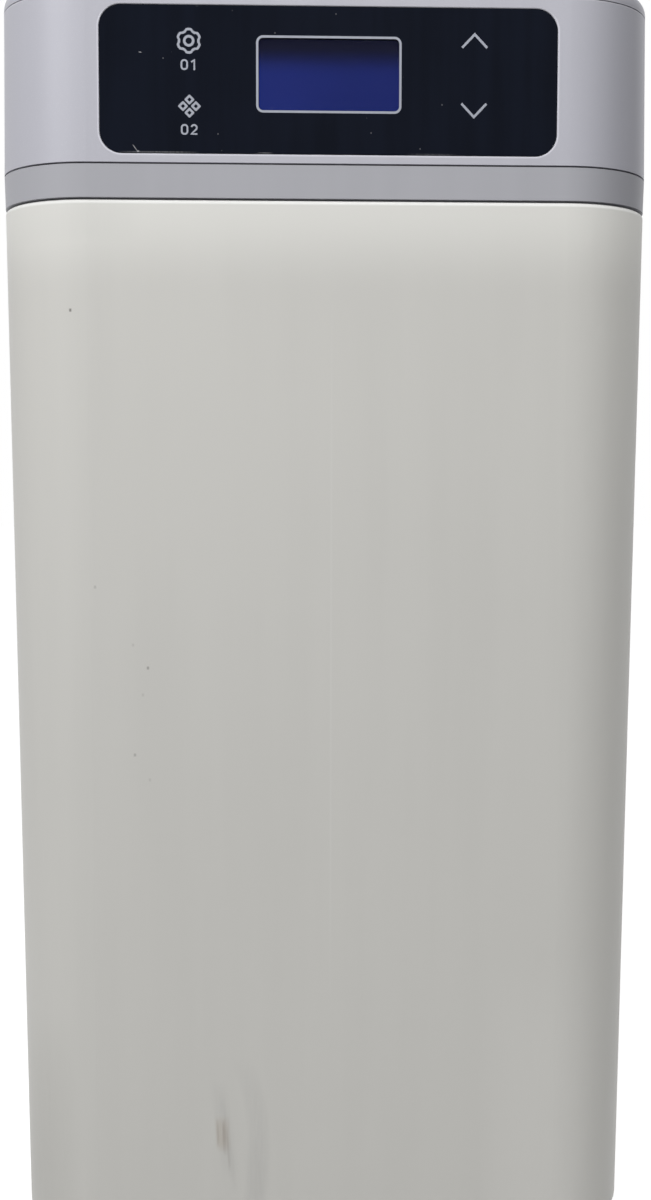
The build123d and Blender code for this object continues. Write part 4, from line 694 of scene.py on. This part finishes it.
# Painted shadow along the top and painted light brighter on the left, all given off as emission.
upper = display.along("Z", shade_low, shade_high)
across = display.along("X", bright_side, dim_side)
clouds = display.spread(display.group(grain_group, Scale=45.0), 0.0, 0.25)
side_tint = math_node(display.tree, "SUBTRACT", across, clouds, clamp=True)
painted_display_light = display.mix(upper, display.mix(side_tint, lit_blue, dim_blue), shaded_navy)
dots = display.group(specks_group, Scale=2200.0, Size=0.3, Share=1.0)
dots = math_node(display.tree, "MULTIPLY", dots, dot_contrast)
display.feed("Emission Color", display.mix(dots, painted_display_light, (0.004, 0.005, 0.012)))
display.feed("Base Color", display.mix(dots, (0.0012, 0.0015, 0.004), (0.0008, 0.001, 0.002)))
dress(display, "lcd_module")
window = Finish("clear_window", IOR=1.09, **{"Transmission Weight": 1.0})
window_mottle = window.group(mottle_group, Scale=30.0)
window.feed("Base Color", window.mix(window_mottle, (0.93, 0.94, 1.0), (0.98, 0.98, 1.0)))
window.feed("Roughness", window.spread(window.group(mottle_group, Scale=60.0), 0.01, 0.04))
dress(window, "display_window")
print("display and window dressed")

# %% [markdown]
# Behind the casing the plastics differ by their work. Covers are plain black, the pressure parts are
# filled with glass fibre that shows as pale flecks, the tubes and the well are white, and the seals
# are dull black rubber with a bloom.
# %% Plastics and rubber inside
black = moulded("black_plastic", (0.026, 0.026, 0.028), 0.75, 0.5, grain_depth=0.00004)
dress(black, "electronics_cover", "port_plate", "power_jack", "union_nuts", "position_sensor", "cable_clips")
dress(black, "vessel_base")
filled = moulded("glass_filled_plastic", (0.04, 0.041, 0.044), 0.75, 0.42, grain_depth=0.00003)
fibres = filled.group(specks_group, Scale=900.0, Size=0.2, Share=0.2)
recolour(filled, fibres, (0.14, 0.14, 0.14), 0.6)
dress(filled, "valve_body", "drive_plate", "float_valve")
white = moulded("white_plastic", (0.7, 0.7, 0.675), 0.93, 0.42, mottle_scale=20.0)
dress(white, "overflow_elbow", "overflow_nut", "drain_fitting", "riser_pipe", "lower_strainer")
dress(white, "upper_strainer", "drive_shaft", "drive_gear", "brine_well", "float_rod", "salt_grid")
dress(white, "air_check")
float_blue = moulded("float_plastic", (0.09, 0.22, 0.42), 0.85, 0.4, mottle_scale=30.0)
dress(float_blue, "float_cup")
tube = moulded(
    "milky_tube", (0.72, 0.75, 0.74), 0.92, 0.3, grain_scale=900.0, grain_depth=0.00001, mottle_scale=40.0,
    **{"Coat Weight": 0.3},
)
dress(tube, "brine_line")
rubber = moulded("seal_rubber", (0.02, 0.02, 0.02), 0.6, 0.72, grain_depth=0.00005, mottle_scale=30.0)
bloom = rubber.spread(rubber.group(mottle_group, Scale=90.0), 0.0, 1.0, 0.5, 0.75)
recolour(rubber, bloom, (0.07, 0.07, 0.07), 0.4)
dress(rubber, "lid_bumpers", "touch_contacts", "overflow_gasket", "port_seals", "neck_o_ring", "shaft_seal")
dress(rubber, "float_grommets", "control_cable")
print("plastics and rubber dressed")

# %% [markdown]
# Turned brass shows fine rings across its axis, which here runs from front to back, so the lines are
# squeezed along y. Zinc-plated steel has a soft patchy shine with specks of finer crystals.
# %% Metals
brass = moulded(
    "turned_brass", (0.7, 0.49, 0.2), 0.86, 0.3, grain_depth=0.000004, mottle_scale=40.0, Metallic=1.0
)
rings = brass.group(lines_group, Squeeze=(60.0, 2600.0, 60.0))
recolour(brass, brass.spread(rings, 0.0, 1.0), (0.56, 0.37, 0.14), 0.5)
brass.feed("Roughness", brass.spread(rings, 0.2, 0.38))
brass.bump(rings, 0.00002)
dress(brass, "inlet_adapter", "outlet_adapter", "drive_pinion")
steel = moulded(
    "zinc_steel", (0.6, 0.6, 0.615), 0.85, 0.33, grain_depth=0.000006, mottle_scale=60.0, Metallic=1.0
)
spangle = steel.group(specks_group, Scale=1400.0, Size=0.4, Share=0.35)
recolour(steel, spangle, (0.7, 0.7, 0.72), 0.4)
dress(steel, "head_screws", "hood_screws", "cover_screws", "drive_screws", "port_plate_screws")
dress(steel, "lid_hinge_pins", "index_magnet", "gear_motor", "motor_shaft")
print("metals dressed")

# %% [markdown]
# Four finishes are each used once. The circuit board has copper tracks under green varnish, drawn as
# the edges between cells. The vessel is wound, the resin is a bed of small amber beads, and the valve
# discs are ground ceramic.
# %% Board, vessel, resin and ceramic
track_width = 0.09
winding_depth = 0.0005
bead_depth = 0.0006
board = moulded("circuit_board", (0.018, 0.12, 0.045), 0.8, 0.36, grain_depth=0.000004)
cells = board.tree.nodes.new("ShaderNodeTexVoronoi")
cells.feature = "DISTANCE_TO_EDGE"
cells.inputs["Scale"].default_value = 260.0
board.tree.links.new(board.place, cells.inputs["Vector"])
tracks = math_node(board.tree, "LESS_THAN", cells.outputs["Distance"], track_width)
recolour(board, tracks, (0.06, 0.24, 0.085), 0.8)
dress(board, "control_board")

low_corner, high_corner = (np.array(corner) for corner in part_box("resin_vessel"))
vessel_axis = tuple(float(value) for value in (low_corner + high_corner)[:2] / 2) + (0.0,)
vessel = moulded("wound_vessel", (0.05, 0.135, 0.33), 0.85, 0.34, **{"Coat Weight": 0.35})
bands = vessel.group(bands_group, Centre=vessel_axis)
recolour(vessel, bands, (0.085, 0.19, 0.42), 0.6)
vessel.bump(bands, winding_depth)
dress(vessel, "resin_vessel")

beads = moulded("resin_beads", (0.4, 0.19, 0.05), 0.7, 0.35)
bead_cells = beads.tree.nodes.new("ShaderNodeTexVoronoi")
bead_cells.inputs["Scale"].default_value = 1100.0
beads.tree.links.new(beads.place, bead_cells.inputs["Vector"])
bead_split = beads.tree.nodes.new("ShaderNodeSeparateColor")
beads.tree.links.new(bead_cells.outputs["Color"], bead_split.inputs[0])
recolour(beads, bead_split.outputs[0], (0.22, 0.08, 0.02), 0.7)
bead_crown = math_node(beads.tree, "SUBTRACT", 1.0, bead_cells.outputs["Distance"])
beads.bump(bead_crown, bead_depth)
dress(beads, "resin_bed")

ceramic = moulded(
    "ground_ceramic", (0.74, 0.73, 0.69), 0.95, 0.18, grain_scale=3000.0, grain_depth=0.000003
)
dress(ceramic, "fixed_disc", "moving_disc")
undressed = [name for name, node in frame["nodes"].items() if len(node.data.materials) != 1]
print("vessel axis:", vessel_axis, "nodes without one finish:", undressed)

# %% [markdown]
# The printing on the fascia is a thin pale ink. Each mark is a flat shape drawn in the panel's plane
# and given a small thickness, so that it is a real film that stands a hair proud of the sheet. The
# same function makes the display's own film. All sizes here are in millimetres.
# %% Ink and thin films
ink = moulded(
    "pale_ink", (0.37, 0.39, 0.455), 0.92, 0.5, grain_scale=3000.0, grain_depth=0.000005,
    mottle_scale=60.0,
)
ink_lift = 0.06
film_thickness = 0.05


def flat_film(name, flat_points, faces, depth, finish):
    """Film from flat x, z points, with its outer face at a depth behind the panel's plane."""
    points = np.zeros((len(flat_points), 3))
    points[:, 0] = flat_points[:, 0]
    points[:, 1] = depth
    points[:, 2] = flat_points[:, 1]
    mesh = bpy.data.meshes.new(name)
    mesh.from_pydata((points * mm).tolist(), [], np.asarray(faces).tolist())
    mesh.transform(panel_place)
    mesh.update()
    if sum(polygon.normal.y * polygon.area for polygon in mesh.polygons) > 0:
        mesh.flip_normals()
    mesh.materials.append(finish.material)
    piece = bpy.data.objects.new(name, mesh)
    bpy.context.scene.collection.objects.link(piece)
    film = piece.modifiers.new("film", "SOLIDIFY")
    film.thickness = film_thickness * mm
    film.offset = -1.0
    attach(piece, "cabinet")
    return piece


def ink_film(name, flat_points, faces):
    """Printed film that stands a hair proud of the sheet."""
    return flat_film(name, flat_points, faces, -ink_lift, ink)


print("film:", film_thickness, "mm")

# %% [markdown]
# Most marks are rings: the space between an outer and an inner outline with the same number of
# points. Outlines are rounded rectangles, circles, or the six-lobed line of the gear.
# %% Outlines and rings


def rounded_loop(half_x, half_z, radius, steps=8):
    """Rounded rectangle: a quarter circle about each corner's centre, anticlockwise."""
    angles = np.linspace(0, pi / 2, steps + 1)
    quarters = np.arange(4)[:, None] * pi / 2 + angles[None, :]
    signs = np.array([[1, 1], [-1, 1], [-1, -1], [1, -1]])
    centre = signs * np.array([half_x - radius, half_z - radius])
    loop = centre[:, None, :] + radius * np.stack([np.cos(quarters), np.sin(quarters)], axis=2)
    return loop.reshape(-1, 2)


def lobed_loop(radius, swell, bias=0.0, lobes=6, steps=144, sharpness=2.0):
    """Line at radius + swell tanh(sharpness (cos(lobes angle) + bias)): a bias above 0 widens lobes."""
    angles = np.arange(steps) * 2 * pi / steps
    reach = radius + swell * np.tanh(sharpness * (np.cos(lobes * (angles - pi / 2)) + bias))
    return reach[:, None] * np.stack([np.cos(angles), np.sin(angles)], axis=1)


def turned(points, angle):
    """Flat points turned anticlockwise by an angle."""
    across = np.array([[np.cos(angle), np.sin(angle)], [-np.sin(angle), np.cos(angle)]])
    return points @ across


def band_faces(count, closed):
    """Quads between two rows of count points each."""
    near = np.arange(count if closed else count - 1)
    far = (near + 1) % count
    return np.stack([near, far, far + count, near + count], axis=1)


def ring(name, place, outer, inner):
    """Film between two closed outlines, moved to its place on the panel."""
    points = np.concatenate([outer, inner]) + np.asarray(place)
    return ink_film(name, points, band_faces(len(outer), True))


print("outlines ready")

# %% [markdown]
# The display's picture forms in a thin polarising film at its front. The film lies just inside the
# window's back face, so that window and display never share a face in the picture.
# %% Display film
display_middle = (-0.2, 2.85)
display_film_depth = 2.2
film_outline = rounded_loop(34.0, 17.0, 2.1) + np.asarray(display_middle)
film_face = [range(len(film_outline))]
flat_film("display_polariser", film_outline, film_face, display_film_depth, display)
print("display film points:", len(film_outline))

# %% [markdown]
# The frame round the display, the gear with its hub, and the four small squares turned on their
# corners are all rings. Their places and sizes are measured on the panel, in millimetres.
# %% Display frame, gear and squares
frame_outer, frame_inner = rounded_loop(35.35, 18.35, 3.4), rounded_loop(34.25, 17.25, 2.35)
ring("print_display_frame", display_middle, frame_outer, frame_inner)
gear_middle = (-68.1, 18.2)
gear_outer, gear_inner = lobed_loop(5.66, 0.46, bias=0.35), lobed_loop(4.52, 0.44, bias=0.05)
ring("print_gear_key", gear_middle, gear_outer, gear_inner)
ring("print_gear_key_hub", gear_middle, lobed_loop(2.78, 0.0), lobed_loop(1.52, 0.0))
squares_middle = np.array([-67.9, -12.8])
square_offset = 3.13
square_outer = turned(rounded_loop(1.81, 1.81, 0.5, steps=4), pi / 4)
square_inner = turned(rounded_loop(0.74, 0.74, 0.16, steps=4), pi / 4)
for number in range(4):
    direction = np.array([np.cos(number * pi / 2), np.sin(number * pi / 2)])
    square_middle = squares_middle + square_offset * direction
    ring("print_four_squares_" + str(number + 1), square_middle, square_outer, square_inner)

# %% [markdown]
# The two arrows and the digits are strokes of constant width along a line. Each side of the stroke
# is the line moved half its width along the mitre between two runs; a sharp corner's mitre is kept
# short. The two left keys are numbered 01 and 02.
# %% Arrows and key numbers


def stroke_film(name, line_points, width, mitre_limit=1.6):
    """Open line plus and minus half the width along its mitred normals."""
    points = np.asarray(line_points, dtype=float)
    runs = np.diff(points, axis=0)
    runs /= np.linalg.norm(runs, axis=1, keepdims=True)
    ahead = np.concatenate([runs, runs[-1:]])
    behind = np.concatenate([runs[:1], runs])
    normal_ahead = np.stack([-ahead[:, 1], ahead[:, 0]], axis=1)
    normal_behind = np.stack([-behind[:, 1], behind[:, 0]], axis=1)
    mitre = normal_ahead + normal_behind
    mitre /= np.linalg.norm(mitre, axis=1, keepdims=True)
    stretch = 1 / np.sum(mitre * normal_ahead, axis=1, keepdims=True)
    side = mitre * np.minimum(stretch, mitre_limit) * width / 2
    return ink_film(name, np.concatenate([points + side, points - side]), band_faces(len(points), False))


arrow_half, arrow_rise, arrow_stroke = 6.1, 3.2, 1.15
arrows = [("print_arrow_up", 70.8, 19.6, arrow_rise), ("print_arrow_down", 70.6, -13.5, -arrow_rise)]
for name, x, z, rise in arrows:
    line = [(x - arrow_half, z - rise), (x, z + rise), (x + arrow_half, z - rise)]
    stroke_film(name, line, arrow_stroke)

digit_stroke = 0.85
digit_gap = 4.6
bow = np.radians(np.linspace(165, -35, 15))
bow_radius, bow_height = 1.3, 0.85
digit_one = np.array([(-1.25, 1.25), (0.25, 2.15), (0.25, -2.57)])
bow_of_two = np.stack([bow_radius * np.cos(bow), bow_height + bow_radius * np.sin(bow)], axis=1)
digit_two = np.concatenate([bow_of_two, [(-1.35, -2.15), (1.6, -2.15)]])
number_middle = -68.0
nought_outer, nought_inner = rounded_loop(1.8, 2.57, 1.7), rounded_loop(0.95, 1.72, 0.88)
for key, digit, z in (("gear", digit_one, 6.9), ("squares", digit_two, -23.9)):
    left = np.array([number_middle - digit_gap / 2, z])
    right = left + np.array([digit_gap, 0.0])
    ring("print_" + key + "_number_0", left, nought_outer, nought_inner)
    stroke_film("print_" + key + "_number", digit + right, digit_stroke)
printed = [piece for piece in bpy.data.objects if piece.name.startswith("print_")]
print("printed marks:", len(printed))

# %% [markdown]
# The floor is a plain pale sheet. To the camera, and in gloss and glass, it gives off enough white
# for the picture's ground to stay white, and it still keeps the soft shadow of the cabinet.
# %% Floor
floor_reach = 12.0
floor_mesh = bpy.data.meshes.new("floor")
corners = np.array([(-1, -1, 0), (1, -1, 0), (1, 1, 0), (-1, 1, 0)]) * floor_reach
floor_mesh.from_pydata(corners.tolist(), [], [(0, 1, 2, 3)])
floor = bpy.data.objects.new("floor", floor_mesh)
bpy.context.scene.collection.objects.link(floor)
paper = Finish("white_paper", Roughness=0.95, **{"Emission Strength": 1.0, "Specular IOR Level": 0.0})
paper.feed("Base Color", paper.mix(paper.group(mottle_group, Scale=3.0), (0.6, 0.6, 0.6), (0.62, 0.62, 0.62)))
paper.feed("Emission Color", paper.mix(seen_directly(paper.tree), (0.0, 0.0, 0.0), (0.76, 0.76, 0.76)))
floor_mesh.materials.append(paper.material)
print("floor reach, m:", floor_reach)

# %% [markdown]
# The colour view is the plain one, so a colour renders about as it is written.
# %% Close
bpy.context.scene.view_settings.view_transform = "Standard"
